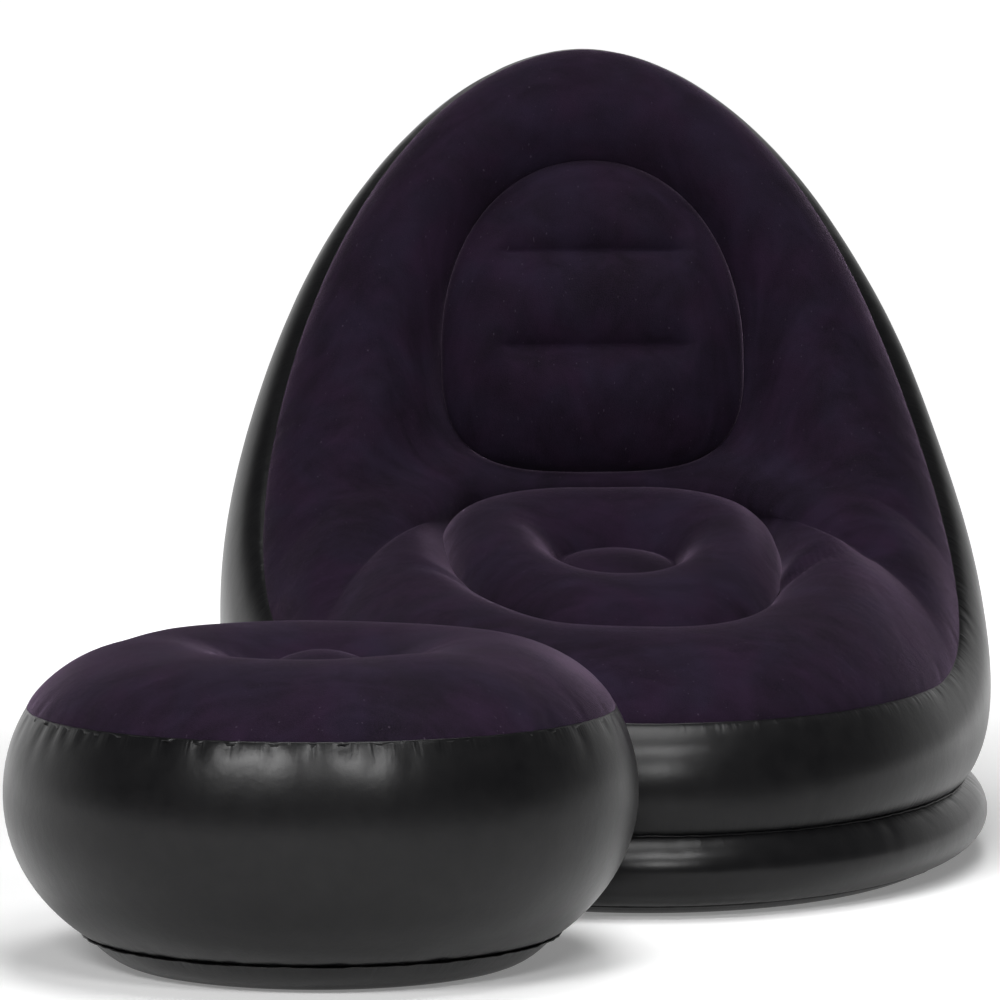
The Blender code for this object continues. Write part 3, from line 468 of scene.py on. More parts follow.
class Look:
    """A node material: each call adds one node and returns its output."""

    def __init__(self, name, roughness, sheen=0.0, sheen_roughness=0.5, tint=(1, 1, 1), specular=0.5):
        self.made = bpy.data.materials.new(name)
        self.made.use_nodes = True
        self.tree = self.made.node_tree
        self.shader = self.tree.nodes["Principled BSDF"]
        self.set("Roughness", roughness)
        self.set("Metallic", 0.0)
        self.set("Sheen Weight", sheen)
        self.set("Sheen Roughness", sheen_roughness)
        self.set("Sheen Tint", (*tint, 1))
        self.set("Specular IOR Level", specular)

    def set(self, socket, value):
        self.shader.inputs[socket].default_value = value

    def join(self, output, node, socket):
        self.tree.links.new(output, node.inputs[socket])

    def place(self, scale=(1, 1, 1)):
        source = self.tree.nodes.new("ShaderNodeTexCoord")
        mapping = self.tree.nodes.new("ShaderNodeMapping")
        mapping.inputs["Scale"].default_value = scale
        self.join(source.outputs["Object"], mapping, "Vector")
        return mapping.outputs["Vector"]

    def noise(self, where, scale, detail=3.0, roughness=0.55, distortion=0.0):
        node = self.tree.nodes.new("ShaderNodeTexNoise")
        node.inputs["Scale"].default_value = scale
        node.inputs["Detail"].default_value = detail
        node.inputs["Roughness"].default_value = roughness
        node.inputs["Distortion"].default_value = distortion
        self.join(where, node, "Vector")
        return node.outputs["Fac"]

    def ranged(self, value, low, high, to_low, to_high):
        node = self.tree.nodes.new("ShaderNodeMapRange")
        for socket, number in zip(("From Min", "From Max", "To Min", "To Max"), (low, high, to_low, to_high)):
            node.inputs[socket].default_value = number
        self.join(value, node, "Value")
        return node.outputs["Result"]

    def math(self, operation, first, second):
        node = self.tree.nodes.new("ShaderNodeMath")
        node.operation = operation
        for socket, value in enumerate((first, second)):
            if isinstance(value, (int, float)):
                node.inputs[socket].default_value = value
            else:
                self.join(value, node, socket)
        return node.outputs["Value"]

    def blend(self, factor, first, second):
        node = self.tree.nodes.new("ShaderNodeMix")
        node.data_type = "RGBA"
        for socket, value in ((6, first), (7, second)):
            if isinstance(value, tuple):
                node.inputs[socket].default_value = (*value, 1)
            else:
                self.join(value, node, socket)
        self.join(factor, node, 0)
        return node.outputs[2]

    def attribute(self, name, output):
        node = self.tree.nodes.new("ShaderNodeAttribute")
        node.attribute_name = name
        return node.outputs[output]

    def bump(self, height, distance, below=None, strength=1.0):
        node = self.tree.nodes.new("ShaderNodeBump")
        node.inputs["Strength"].default_value = strength
        node.inputs["Distance"].default_value = distance
        self.join(height, node, "Height")
        if below:
            self.join(below, node, "Normal")
        return node.outputs["Normal"]

    def finish(self, colour=None, roughness=None, normal=None):
        for output, socket in ((colour, "Base Color"), (roughness, "Roughness"), (normal, "Normal")):
            if output:
                self.join(output, self.shader, socket)
        return self.made


def flock_look():
    """Short dense pile: brushed lighter and darker, with a pale sheen at the edges."""
    look = Look(
        "aubergine_flock", 0.9, sheen=0.27, sheen_roughness=0.26, tint=(0.84, 0.60, 0.90), specular=0.10
    )
    where = look.place()
    cloud = look.noise(where, 9.0, 5.0, 0.62, 0.8)
    strokes = look.noise(look.place((22, 60, 9)), 1.0, 3.0, 0.6, 0.6)
    tone = look.noise(look.place((1.1, 0.9, 1.3)), 13, 2.0, 0.5, 0.4)
    grain = look.noise(where, 900, 2.0, 0.7)
    shade = look.math("ADD", look.math("MULTIPLY", cloud, 0.6), look.math("MULTIPLY", strokes, 0.4))
    brushed = look.ranged(shade, 0.38, 0.62, 0, 1)
    colour = look.blend(brushed, (0.0028, 0.0011, 0.0040), (0.0136, 0.0064, 0.0172))
    cooler = look.blend(brushed, (0.0026, 0.0015, 0.0046), (0.0112, 0.0078, 0.0180))
    colour = look.blend(look.ranged(tone, 0.40, 0.62, 0.0, 0.9), colour, cooler)
    speck = look.ranged(grain, 0.35, 0.7, 0.0, 0.45)
    colour = look.blend(speck, colour, (0.0215, 0.0118, 0.0265))
    lint = look.ranged(look.noise(look.place((1, 1, 0.45)), 430, 0.0), 0.82, 0.86, 0.0, 0.22)
    colour = look.blend(lint, colour, (0.13, 0.10, 0.14))
    normal = look.bump(look.noise(where, 26, 3.0), 0.0016, strength=0.55)
    normal = look.bump(grain, 0.0006, below=normal, strength=0.7)
    return look.finish(colour, look.ranged(cloud, 0.3, 0.7, 0.82, 0.98), normal)


def pvc_look():
    """Black vinyl sheet with a soft gloss, fine creases beside its welds and faint dust."""
    look = Look("black_pvc", 0.34, specular=0.24)
    where = look.place()
    slow = look.noise(where, 5.0, 2.0, 0.5, 0.3)
    fine = look.noise(where, 46, 4.0, 0.6)
    grain = look.noise(where, 1300, 1.0)
    near = look.attribute("near", "Fac")
    raised = look.tree.nodes.new("ShaderNodeCombineXYZ")
    look.join(look.math("MULTIPLY", near, 0.17), raised, "Z")
    joined = look.tree.nodes.new("ShaderNodeVectorMath")
    look.join(look.attribute("around", "Vector"), joined, 0)
    look.join(raised.outputs["Vector"], joined, 1)
    creases = look.noise(joined.outputs["Vector"], 70.0, 2.0, 0.6, 0.5)
    mask = look.ranged(near, 0.0, 0.028, 1.0, 0.0)
    creased = look.math("MULTIPLY", creases, look.math("MULTIPLY", mask, mask))
    normal = look.bump(slow, 0.006, strength=0.35)
    normal = look.bump(fine, 0.0009, below=normal, strength=0.35)
    normal = look.bump(creased, 0.0022, below=normal, strength=0.7)
    normal = look.bump(grain, 0.00008, below=normal, strength=0.5)
    share = look.ranged(fine, 0.35, 0.7, 0, 1)
    colour = look.blend(share, (0.0036, 0.0036, 0.0041), (0.0062, 0.0061, 0.0066))
    return look.finish(colour, look.ranged(slow, 0.3, 0.7, 0.27, 0.34), normal)


def inner_look():
    """Plain unprinted vinyl of the webs and sheets inside."""
    look = Look("inner_pvc", 0.45)
    where = look.place()
    fine = look.noise(where, 60, 3.0)
    colour = look.blend(look.ranged(fine, 0.3, 0.7, 0, 1), (0.017, 0.017, 0.019), (0.026, 0.026, 0.028))
    return look.finish(colour, look.ranged(fine, 0.3, 0.7, 0.40, 0.52), look.bump(fine, 0.0006, strength=0.4))


def valve_look():
    """Moulded soft vinyl with a fine satin grain, a little paler where it is handled."""
    look = Look("valve_vinyl", 0.38)
    where = look.place()
    slow = look.noise(where, 120, 2.0)
    grain = look.noise(where, 2600, 1.0)
    colour = look.blend(look.ranged(slow, 0.35, 0.65, 0, 1), (0.036, 0.036, 0.039), (0.056, 0.056, 0.059))
    normal = look.bump(grain, 0.0001, strength=0.6)
    return look.finish(colour, look.ranged(slow, 0.3, 0.7, 0.33, 0.45), normal)


FLOCK, PVC, INNER, VALVE = flock_look(), pvc_look(), inner_look(), valve_look()


# Pieces


def piece(name, points, faces, body, look, nodes=(), near=None, around=None):
    """A piece of the scene in its own material, riding on a body."""
    middle = CHAIR_MIDDLE if body.startswith("chair") else OTTOMAN_MIDDLE
    mesh = bpy.data.meshes.new(name)
    mesh.from_pydata((np.asarray(points) + middle).tolist(), [], faces)
    mesh.materials.append(look)
    for label, kind, field, width, values in (
        ("near", "FLOAT", "value", 1, near), ("around", "FLOAT_VECTOR", "vector", 3, around)
    ):
        store = mesh.attributes.new(label, kind, "POINT")
        numbers = np.full(len(mesh.vertices) * width, 1.0, np.float32)
        if values is not None:
            flat = np.asarray(values, np.float32).ravel()
            numbers[: len(flat)] = flat
        store.data.foreach_set(field, numbers)
    mesh.shade_smooth()
    made = bpy.data.objects.new(name, mesh)
    bpy.context.scene.collection.objects.link(made)
    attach(made, body)
    if nodes:
        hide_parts(*nodes)
    return made


def around_grid(loop, rows):
    """Each column's place along a closed loop, as a place on a circle of the same length."""
    run, length = run_of(loop)
    turn = run * 2 * math.pi / length
    ring = np.stack([np.cos(turn), np.sin(turn), np.zeros(len(turn))], axis=1) * length / (2 * math.pi)
    return np.tile(ring, (rows, 1, 1))


def weld_strip(name, loop, way, body, width, thickness, seed):
    """The narrow welded flange of two sheets, which stands out along the given ways."""
    rng = np.random.default_rng(seed)
    tangent = np.roll(loop, -1, axis=0) - np.roll(loop, 1, axis=0)
    tangent /= np.linalg.norm(tangent, axis=1)[:, None]
    way = way - tangent * (way * tangent).sum(axis=1)[:, None]
    way /= np.linalg.norm(way, axis=1)[:, None]
    side = np.cross(tangent, way)
    run, length = run_of(loop)
    wobble = sum(
        rng.uniform(0.3, 1) * np.sin(2 * math.pi * round(length / size) * run / length + rng.uniform(0, 6))
        for size in (0.021, 0.034, 0.057, 0.11)
    )
    wide = width * (1 + 0.06 * wobble)[:, None]
    sway = side * (0.0002 * wobble)[:, None]
    turns = np.linspace(0, 2 * math.pi, FLANGE_SIDES + 1)[:-1]
    rows = [
        loop + way * (wide * (0.42 + 0.58 * math.cos(turn))) + side * thickness / 2 * math.sin(turn) + sway
        for turn in turns
    ]
    rows = np.array(rows + rows[:1])
    count = FLANGE_SIDES * len(loop)
    faces = [tuple(index % count for index in face) for face in grid_faces(len(rows), len(loop))]
    piece(
        name, rows[:-1].reshape(-1, 3), faces, body, PVC,
        near=np.full(count, 0.02), around=around_grid(loop, FLANGE_SIDES),
    )


def floor_skin(name, weld, flat, body, node):
    """A bottom sheet: flat on the floor, turned up to the weld round it."""
    shares = np.linspace(0, 1, 9)
    rows = [weld + (flat - weld) * share for share in shares]
    for row, share in zip(rows, shares):
        row[:, 2] = weld[:, 2] * (1 - share) ** 2 + FLOOR_GAP
    points, faces = rows_with_centre(rows, (0, 0, FLOOR_GAP))
    near = distances(np.array(rows))
    faces = [tuple(reversed(face)) for face in faces]
    piece(name, points, faces, body, PVC, (node,), near, around_grid(weld, len(rows)))


def wall_swelling(loop):
    rise = (loop[:, 2] - EDGE_FRONT_HEIGHT) / (loop[:, 2].max() - EDGE_FRONT_HEIGHT)
    side = np.clip(rise * 4, 0, 1)
    back = np.clip(rise * 4 / 3 - 1 / 3, 0, 1)
    more = (WALL_SIDE_BULGE - WALL_FRONT_BULGE) * side + (WALL_BACK_BULGE - WALL_SIDE_BULGE) * back
    fullness = WALL_FRONT_SWELL_SHARE + (WALL_BACK_SWELL_SHARE - WALL_FRONT_SWELL_SHARE) * side
    return softened(WALL_FRONT_BULGE + more, FINE * FINE), softened(fullness, FINE * FINE)


def detailed_wall(rows, low, high, seed, slow):
    """A wall with creases at both of its welds. Low and high hold their pitch, depth and reach."""
    rise = distances(rows)
    drop = rise[-1] - rise
    near = np.minimum(rise, drop)
    shift = puckers(rows[0], rise, *low, seed) + puckers(rows[-1], drop, *high, seed + 1)
    shift += waves(rows, WALL_WAVE_SIZE, slow, seed + 2) * held(near, 0.05)
    return rows + outward(rows) * shift[..., None], near


def without_hole(faces, points, node):
    """The faces that are left round a valve's stem."""
    low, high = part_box(node)
    middle = np.array((low + high) / 2)
    places = np.asarray(points)[np.array([face[:4] for face in faces])].mean(axis=1)
    keep = np.linalg.norm(places - middle, axis=1) > VALVE_HOLE_RADIUS
    return [face for face, kept in zip(faces, keep) if kept]


def make_base():
    weld, crease = base_loop(BASE_WELD_INSET, BASE_WELD_HEIGHT), base_loop(CREASE_INSET, CREASE_HEIGHT)
    floor_skin("chair_floor_skin", weld, base_loop(BASE_FLAT_INSET, 0), "chair", "base_bottom_sheet")
    rows = swell(weld, crease, np.full(len(weld), BASE_BULGE), BASE_ROWS)
    rows, near = detailed_wall(rows, BASE_LOW_CREASES, BASE_HIGH_CREASES, 11, BASE_WAVE_DEPTH)
    faces = grid_faces(len(rows), len(weld))
    piece("chair_base_skin", rows.reshape(-1, 3), faces, "chair", PVC, ("base_ring_wall",), near,
          around_grid(weld, len(rows)))
    out = 2 * rows[0] - rows[1]
    weld_strip("chair_base_weld", weld, out - rows[0] + (0, 0, -0.001), "chair", *BASE_FLANGE, 12)
    weld_strip("chair_crease_weld", crease, crease * np.array([1, 1, 0]), "chair", *CREASE_FLANGE, 13)


def lumbar_rows():
    rear = on(SEAT_PLANE, seat_outline(seat_angles()[SEAT_SIDE_STEPS:]))
    bottom = on(PILLOW_PLANE, pillow_outline(pillow_angles()[PILLOW_EDGE_STEPS::-1]))
    mirror = np.array([-1, 1, 1])
    lower = np.concatenate([rear * mirror, rear[-2::-1]])
    upper = np.concatenate([bottom * mirror, bottom[-2::-1]])
    return swell(lower, upper, np.full(len(lower), LUMBAR_BULGE), LUMBAR_STEPS, closed=False)


def roll_bulges():
    turns = np.linspace(-QUARTER, QUARTER, HALF_STEPS + 1)
    ends = np.where(turns < 0, ROLL_FRONT_BULGE, ROLL_HEAD_BULGE)
    return whole_values(ROLL_SIDE_BULGE + (ends - ROLL_SIDE_BULGE) * np.sin(turns) ** 2)


def make_body():
    """The chair's side wall and its flocked surround, which meet at the top weld."""
    edge = whole(evenly(edge_point, HALF_STEPS))
    bulges, fullness = wall_swelling(edge)
    wall = swell(base_loop(CREASE_INSET, CREASE_HEIGHT), edge, bulges, WALL_ROWS, fullness=fullness)
    wall, near = detailed_wall(wall, WALL_LOW_CREASES, WALL_HIGH_CREASES, 21, BODY_WAVE_DEPTH)
    points = wall.reshape(-1, 3)
    faces = without_hole(grid_faces(len(wall), len(edge)), points + CHAIR_MIDDLE, "chair_valve_body")
    around = around_grid(edge, len(wall))
    piece("chair_wall_skin", points, faces, "chair", PVC, ("body_side_wall",), near, around)

    lumbar = lumbar_rows()
    seat = on(SEAT_PLANE, seat_outline(seat_angles()[: SEAT_SIDE_STEPS + 1]))
    pillow = on(PILLOW_PLANE, pillow_outline(pillow_angles()[PILLOW_EDGE_STEPS:]))
    inner = whole(np.concatenate([seat, lumbar[1:-1, -1], pillow]))
    ridge_end = np.zeros(HALF_STEPS + 1)
    ridge_end[SEAT_SIDE_STEPS + FINE : SEAT_SIDE_STEPS + LUMBAR_STEPS] = 1
    eased = softened(whole_values(ridge_end), 2 * FINE * FINE)
    roll = swell(edge, inner, roll_bulges(), ROLL_ROWS, eased=eased, passes=SOFT_PASSES)
    rise = distances(roll)
    drop = rise[-1] - rise
    shift = puckers(edge, rise, *ROLL_EDGE_CREASES, 31)
    shift = shift + puckers(inner, drop, *ROLL_INNER_CREASES, 32, width=0.006)
    shift += waves(roll, *ROLL_WAVES, 33) * held(np.minimum(rise, drop), 0.06)
    shift += sum(fold(roll, *place) for place in SEAT_FOLDS)
    normal = outward(roll)
    normal = softened(normal.transpose(1, 0, 2), 4).transpose(1, 0, 2)
    roll = roll + normal * shift[..., None]
    points = np.concatenate([roll.reshape(-1, 3), lumbar.reshape(-1, 3)])
    faces = grid_faces(len(roll), len(edge))
    faces += grid_faces(len(lumbar), lumbar.shape[1], closed=False, start=roll.shape[0] * roll.shape[1])
    made = piece("chair_surround_skin", points, faces, "chair", FLOCK, ("flocked_surround",))
    weld_doubles(made)
    relax(made, lumbar[:, -1], RIDGE_RELAX_REACH, RIDGE_RELAX_PASSES)
    way = 2 * edge - wall[-2] - roll[1]
    weld_strip("chair_top_weld", edge, way, "chair", *TOP_FLANGE, 22)


def weld_doubles(obj):
    """Joins the ridge's ends to the roll where their edges run together."""
    mesh = bmesh.new()
    mesh.from_mesh(obj.data)
    bmesh.ops.remove_doubles(mesh, verts=mesh.verts, dist=DOUBLES_DISTANCE)
    mesh.to_mesh(obj.data)
    mesh.free()
    obj.data.shade_smooth()


def relax(obj, ridge_end, reach, passes):
    """Evens out the sheet round both ends of the ridge and keeps its welds where they are."""
    mesh = obj.data
    points = np.empty(len(mesh.vertices) * 3)
    mesh.vertices.foreach_get("co", points)
    points = points.reshape(-1, 3)
    ends = np.empty(len(mesh.edges) * 2, np.int64)
    mesh.edges.foreach_get("vertices", ends)
    ends = ends.reshape(-1, 2)
    used = np.empty(len(mesh.loops), np.int64)
    mesh.loops.foreach_get("edge_index", used)
    free = np.ones(len(points))
    free[ends[np.bincount(used, minlength=len(ends)) < 2].ravel()] = 0
    far = np.full(len(points), np.inf)
    for side in (1, -1):
        for place in ridge_end[::8]:
            gap = np.linalg.norm(points - CHAIR_MIDDLE - place * np.array([side, 1, 1]), axis=1)
            far = np.minimum(far, gap)
    share = (free * np.exp(-((far / reach) ** 2)) / 2)[:, None]
    a, b = ends.T
    degree = np.maximum(np.bincount(a, minlength=len(points)) + np.bincount(b, minlength=len(points)), 1)
    for _ in range(passes):
        near = [
            np.bincount(a, points[b, axis], len(points)) + np.bincount(b, points[a, axis], len(points))
            for axis in range(3)
        ]
        points += (np.stack(near, axis=1) / degree[:, None] - points) * share
    mesh.vertices.foreach_set("co", points.ravel())
    mesh.update()


def fold(points, start, end, depth, width, lift):
    """A valley that runs over the roll from the seat's weld and fades out, with a low ridge behind it."""
    start, end = np.array(start), np.array(end)
    way = (end - start) / np.linalg.norm(end - start)
    beside = np.array([-way[1], way[0]]) * np.sign(way[0])
    gap = points[..., :2] - start
    along = gap @ way / np.linalg.norm(end - start)
    across = gap @ beside
    fade = np.clip(1 - along, 0, 1) ** 0.8 * np.clip((along + 0.1) * 5, 0, 1) * (along < 1)
    valley = np.exp(-((across / (width * (0.7 + 0.6 * np.clip(along, 0, 1)))) ** 2))
    ridge = np.exp(-(((across - 2.2 * width) / (1.6 * width)) ** 2))
    return depth * fade * (lift * ridge - valley)


def make_seat():
    angles = seat_angles()
    weld = whole(on(SEAT_PLANE, seat_outline(angles)))
    ring = circle(PUCK_RADIUS, 0, len(weld)) + (0, PUCK_RUN, 0)
    puck = on(SEAT_PLANE, ring)
    ends = np.where(angles < 0, SEAT_FRONT_BULGE, SEAT_REAR_BULGE)
    bulges = whole_values(SEAT_SIDE_BULGE + (ends - SEAT_SIDE_BULGE) * np.sin(angles) ** 2)
    torus = swell(weld, puck, bulges, SEAT_ROWS)
    rise = distances(torus)
    drop = rise[-1] - rise
    shift = puckers(weld, rise, *SEAT_EDGE_CREASES, 41, width=0.006)
    shift += puckers(puck, drop, *SEAT_PUCK_CREASES, 42, width=0.005)
    shift += waves(torus, *SEAT_WAVES, 43) * held(np.minimum(rise, drop), 0.04)
    torus = torus + outward(torus) * shift[..., None]
    crown, top = dome(puck, SEAT_PLANE[0][2], PUCK_CROWN, PUCK_ROWS)
    points, faces = rows_with_centre(np.concatenate([torus, crown]), top)
    piece("chair_seat_skin", points, faces, "chair", FLOCK, ("flocked_seat_panel",))


def make_pillow():
    outline = pillow_outline(pillow_angles())[:, :2]
    edge = PILLOW_EDGE_STEPS
    bottom, sides, top = outline[: edge + 1], outline[edge : len(outline) - edge], outline[: -edge - 2 : -1]
    low_end, high_end = CHANNEL_HEIGHTS[0] - CHANNEL_WIDTH, CHANNEL_HEIGHTS[1] + CHANNEL_WIDTH
    even = np.sin(np.linspace(0, QUARTER, edge + 1))
    low = np.maximum((low_end - sides[:, 1]) / (low_end - sides[0][1]), 0)[:, None]
    high = np.maximum((sides[:, 1] - high_end) / (sides[-1][1] - high_end), 0)[:, None]
    shares = even + (bottom[:, 0] / bottom[-1, 0] - even) * low + (top[:, 0] / top[-1, 0] - even) * high
    y = sides[:, 1:] + (bottom[:, 1] - bottom[-1, 1]) * low + (top[:, 1] - top[-1, 1]) * high
    x = shares * sides[:, :1]
    x, y = np.concatenate([-x[:, :0:-1], x], axis=1), np.concatenate([y[:, :0:-1], y], axis=1)
    across_power, along_power, fullness = PILLOW_CROWN_SHARES
    along = np.abs(2 * (y - y[:1]) / (y[-1:] - y[:1]) - 1)
    across = np.abs(x / x[:, -1:])
    full = np.maximum((1 - across ** across_power) * (1 - along ** along_power), 0) ** fullness
    fade = np.clip((CHANNEL_HALF_LENGTH - np.abs(x)) / CHANNEL_FADE, 0, 1)
    depth = sum(np.exp(-np.abs(y - channel) / CHANNEL_WIDTH) for channel in CHANNEL_HEIGHTS)
    lift = CHANNEL_LIFT * np.abs(x) / CHANNEL_HALF_LENGTH
    depth = (CHANNEL_DEPTH - lift) * depth * fade * fade * (3 - 2 * fade)
    z = np.maximum(PILLOW_CROWN * full - depth, 0)
    for number, channel in enumerate(CHANNEL_HEIGHTS):
        z += channel_puckers(x, y - channel, 51 + number) * (z > 0.01)
    rows = on(PILLOW_PLANE, np.stack([x, y, z], axis=2))
    uneven = waves(rows, *PILLOW_WAVES, 55) * (1 - across ** 4) * (1 - along ** 4)
    rows = rows + PILLOW_PLANE[0][2] * uneven[..., None]
    faces = grid_faces(*x.shape, closed=False)
    piece("chair_pillow_skin", rows.reshape(-1, 3), faces, "chair", FLOCK, ("flocked_back_pillow",))


def channel_puckers(x, off, seed):
    """Short creases across a straight weld."""
    rng = np.random.default_rng(seed)
    pull = np.zeros(x.shape)
    for place in np.arange(-CHANNEL_HALF_LENGTH, CHANNEL_HALF_LENGTH, CHANNEL_CREASE_PITCH):
        place += rng.uniform(-0.008, 0.008)
        strength, far, lean = rng.uniform(0.2, 1), rng.uniform(0.008, 0.022), rng.uniform(-0.5, 0.5)
        pull += strength * np.exp(-((x - place - lean * off) / 0.006) ** 2 - (np.abs(off) / far) ** 1.6)
    return -CHANNEL_CREASE_DEPTH * pull


def make_ottoman():
    steps = OTTOMAN_STEPS
    low = circle(OTTOMAN_LOW_WELD_RADIUS, OTTOMAN_LOW_WELD_HEIGHT, steps)
    high = circle(OTTOMAN_WELD_RADIUS, OTTOMAN_TOP_WELD_HEIGHT, steps)
    flat = circle(OTTOMAN_FLAT_RADIUS, 0, steps)
    floor_skin("ottoman_floor_skin", low, flat, "ottoman", "ottoman_bottom_sheet")
    bulge = np.full(steps, OTTOMAN_WALL_BULGE)
    wall = swell(low, high, bulge, OTTOMAN_ROWS, fullness=OTTOMAN_WALL_SWELL_SHARE)
    wall, near = detailed_wall(wall, OTTOMAN_LOW_CREASES, OTTOMAN_HIGH_CREASES, 61, OTTOMAN_WAVE_DEPTH)
    points = wall.reshape(-1, 3)
    faces = without_hole(grid_faces(len(wall), steps), points + OTTOMAN_MIDDLE, "ottoman_valve_body")
    around = around_grid(high, len(wall))
    piece("ottoman_wall_skin", points, faces, "ottoman", PVC, ("ottoman_side_wall",), near, around)

    puck = circle(OTTOMAN_PUCK_RADIUS, OTTOMAN_PUCK_HEIGHT, steps)
    torus = swell(high, puck, np.full(steps, OTTOMAN_TOP_BULGE), OTTOMAN_ROWS)
    rise = distances(torus)
    drop = rise[-1] - rise
    shift = puckers(high, rise, *OTTOMAN_EDGE_CREASES, 63)
    shift = shift + puckers(puck, drop, *OTTOMAN_PUCK_CREASES, 64, width=0.005)
    shift += waves(torus, *OTTOMAN_TOP_WAVES, 65) * held(np.minimum(rise, drop), 0.05)
    torus = torus + outward(torus) * shift[..., None]
    crown, top = dome(puck, np.array([0, 0, 1]), OTTOMAN_PUCK_CROWN, PUCK_ROWS)
    points, faces = rows_with_centre(np.concatenate([torus, crown]), top)
    piece("ottoman_top_skin", points, faces, "ottoman", FLOCK, ("ottoman_flocked_top",))
    weld_strip("ottoman_top_weld", high, 2 * high - wall[-2] - torus[1], "ottoman", *OTTOMAN_TOP_FLANGE, 66)
    way = low * np.array([1, 1, 0]) + (0, 0, -0.05)
    weld_strip("ottoman_low_weld", low, way, "ottoman", *BASE_FLANGE, 67)


def dress_frame():
    """Materials of the nodes that stay as they are: inner webs and sheets, and the valves."""
    for name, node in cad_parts.items():
        look = VALVE if "_valve_" in name else INNER
        if node.material_slots and not node.hide_render:
            node.material_slots[0].material = look


# Studio


def joined_math(tree, kind, first, second):
    node = tree.nodes.new("ShaderNodeMath")
    node.operation = kind
    tree.links.new(first, node.inputs[0])
    if isinstance(second, float):
        node.inputs[1].default_value = second
    else:
        tree.links.new(second, node.inputs[1])
    return node.outputs[0]


def seen_rays(tree):
    """One for what the camera sees, plainly or in and through a piece, and zero for light on a surface."""
    path = tree.nodes.new("ShaderNodeLightPath")
    seen = joined_math(tree, "ADD", path.outputs["Is Camera Ray"], path.outputs["Is Glossy Ray"])
    return joined_math(tree, "ADD", seen, path.outputs["Is Transmission Ray"])


def faded(tree, value, start, end, low, high):
    """A soft step from low to high while the value goes from start to end."""
    node = tree.nodes.new("ShaderNodeMapRange")
    node.interpolation_type = "SMOOTHSTEP"
    for name, number in (("From Min", start), ("From Max", end), ("To Min", low), ("To Max", high)):
        node.inputs[name].default_value = number
    tree.links.new(value, node.inputs["Value"])
    return node.outputs["Result"]


def studio_floor():
    """A wide pale floor, which looks white further out and keeps the object's shadow."""
    turns = np.arange(FLOOR_SIDES) * 2 * math.pi / FLOOR_SIDES
    rings = [[(math.cos(turn) * ring, math.sin(turn) * ring, 0.0) for turn in turns] for ring in FLOOR_RINGS]
    points, faces = rows_with_centre(rings, (0, 0, 0))
    mesh = bpy.data.meshes.new("studio_floor")
    mesh.from_pydata(points.tolist(), [], faces)
    made = bpy.data.objects.new("studio_floor", mesh)
    bpy.context.scene.collection.objects.link(made)
    paint = bpy.data.materials.new("pale_floor")
    paint.use_nodes = True
    tree = paint.node_tree
    shader = tree.nodes["Principled BSDF"]
    shader.inputs["Base Color"].default_value = (0.86, 0.86, 0.86, 1)
    shader.inputs["Roughness"].default_value = 0.9
    shader.inputs["Specular IOR Level"].default_value = 0.0
    seen = seen_rays(tree)
    place = tree.nodes.new("ShaderNodeTexCoord")
    reach = tree.nodes.new("ShaderNodeVectorMath")
    reach.operation = "LENGTH"
    tree.links.new(place.outputs["Object"], reach.inputs[0])
    split = tree.nodes.new("ShaderNodeSeparateXYZ")
    tree.links.new(place.outputs["Object"], split.inputs[0])
    outwards = faded(tree, reach.outputs["Value"], *FLOOR_GLOW_OUTWARDS)
    backwards = faded(tree, split.outputs["Y"], *FLOOR_GLOW_BACKWARDS)
    lift = joined_math(tree, "MULTIPLY", joined_math(tree, "MULTIPLY", outwards, backwards), seen)
    shader.inputs["Emission Color"].default_value = (1, 1, 1, 1)
    tree.links.new(lift, shader.inputs["Emission Strength"])
    made.data.materials.append(paint)


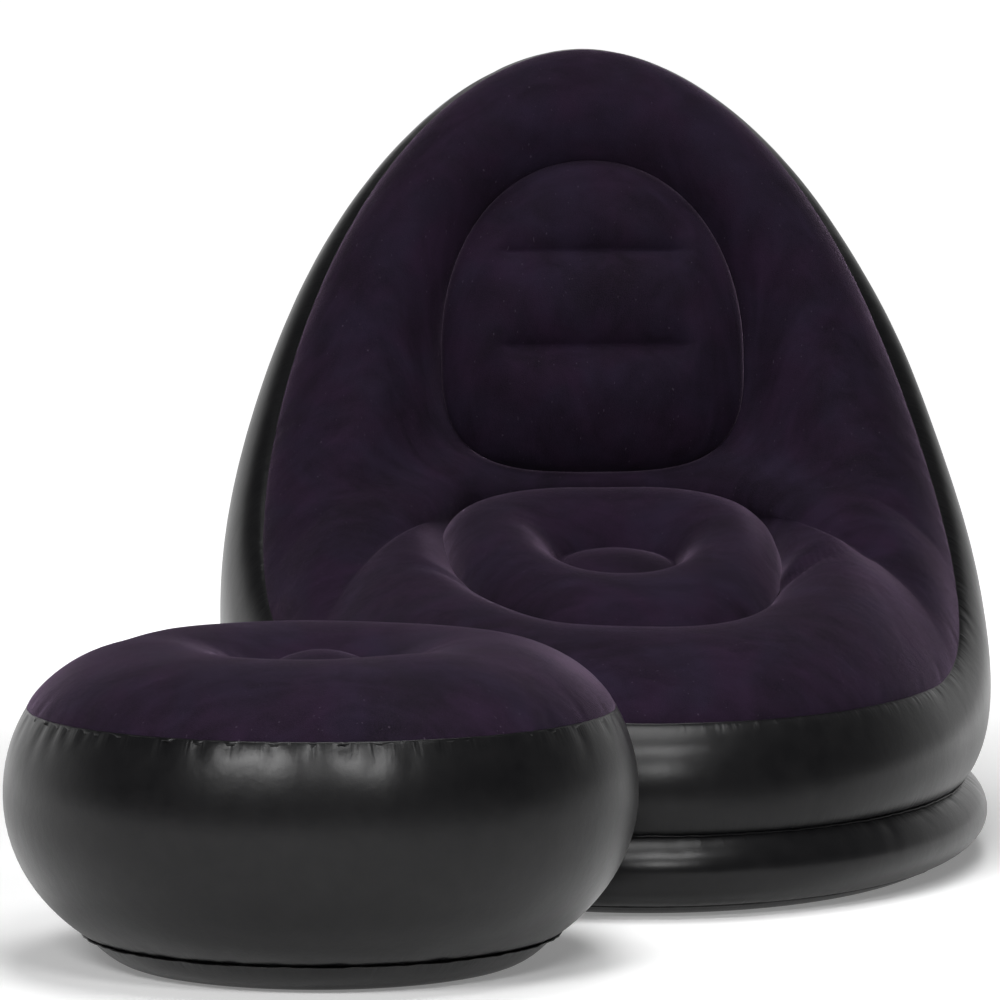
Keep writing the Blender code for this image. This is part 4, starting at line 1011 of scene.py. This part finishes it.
def lamp(name, place, aim, size, power, spread):
    data = bpy.data.lights.new(name, "AREA")
    data.shape = "RECTANGLE"
    data.size, data.size_y = size
    data.energy = power
    data.spread = math.radians(spread)
    made = bpy.data.objects.new(name, data)
    bpy.context.scene.collection.objects.link(made)
    made.location = place
    made.rotation_euler = (Vector(aim) - Vector(place)).to_track_quat("-Z", "Y").to_euler()
    made.visible_camera = False


def light_studio():
    """A dim room, white behind the object to seen rays only, with two boxes, a strip and a top box."""
    world = bpy.data.worlds.new("studio")
    bpy.context.scene.world = world
    world.use_nodes = True
    tree = world.node_tree
    way = tree.nodes.new("ShaderNodeTexCoord")
    split = tree.nodes.new("ShaderNodeSeparateXYZ")
    tree.links.new(way.outputs["Generated"], split.inputs[0])
    shares = [faded(tree, split.outputs[axis], *step) for axis, *step in WORLD_WHITE]
    white = joined_math(tree, "MULTIPLY", joined_math(tree, "MULTIPLY", shares[0], shares[1]), shares[2])
    white = joined_math(tree, "MULTIPLY", white, seen_rays(tree))
    tree.links.new(joined_math(tree, "ADD", white, WORLD_LEVEL), tree.nodes["Background"].inputs["Strength"])
    tree.nodes["Background"].inputs["Color"].default_value = (1, 1, 1, 1)
    for name, settings in LAMPS.items():
        lamp(name, *settings)


def place_camera():
    turn, yaw, pitch = CAMERA_TURN, CAMERA_TURN + CAMERA_PAN, CAMERA_PITCH
    eye = np.array([-math.sin(turn) * CAMERA_DISTANCE, -math.cos(turn) * CAMERA_DISTANCE, CAMERA_HEIGHT])
    ahead = np.array([math.sin(yaw) * math.cos(pitch), math.cos(yaw) * math.cos(pitch), -math.sin(pitch)])
    right = np.array([math.cos(yaw), -math.sin(yaw), 0.0])
    matrix = Matrix(np.stack([right, np.cross(right, ahead), -ahead], axis=1).tolist()).to_4x4()
    matrix.translation = Vector(eye + CHAIR_MIDDLE)
    data = bpy.data.cameras.new("camera")
    data.sensor_width = SENSOR_WIDTH
    data.lens = CAMERA_FOCUS_SHARE * SENSOR_WIDTH
    made = bpy.data.objects.new("camera", data)
    bpy.context.scene.collection.objects.link(made)
    made.matrix_world = matrix
    bpy.context.scene.camera = made


make_base()
make_body()
make_seat()
make_pillow()
make_ottoman()
dress_frame()
studio_floor()
light_studio()
place_camera()
bpy.context.scene.view_settings.view_transform = "Standard"
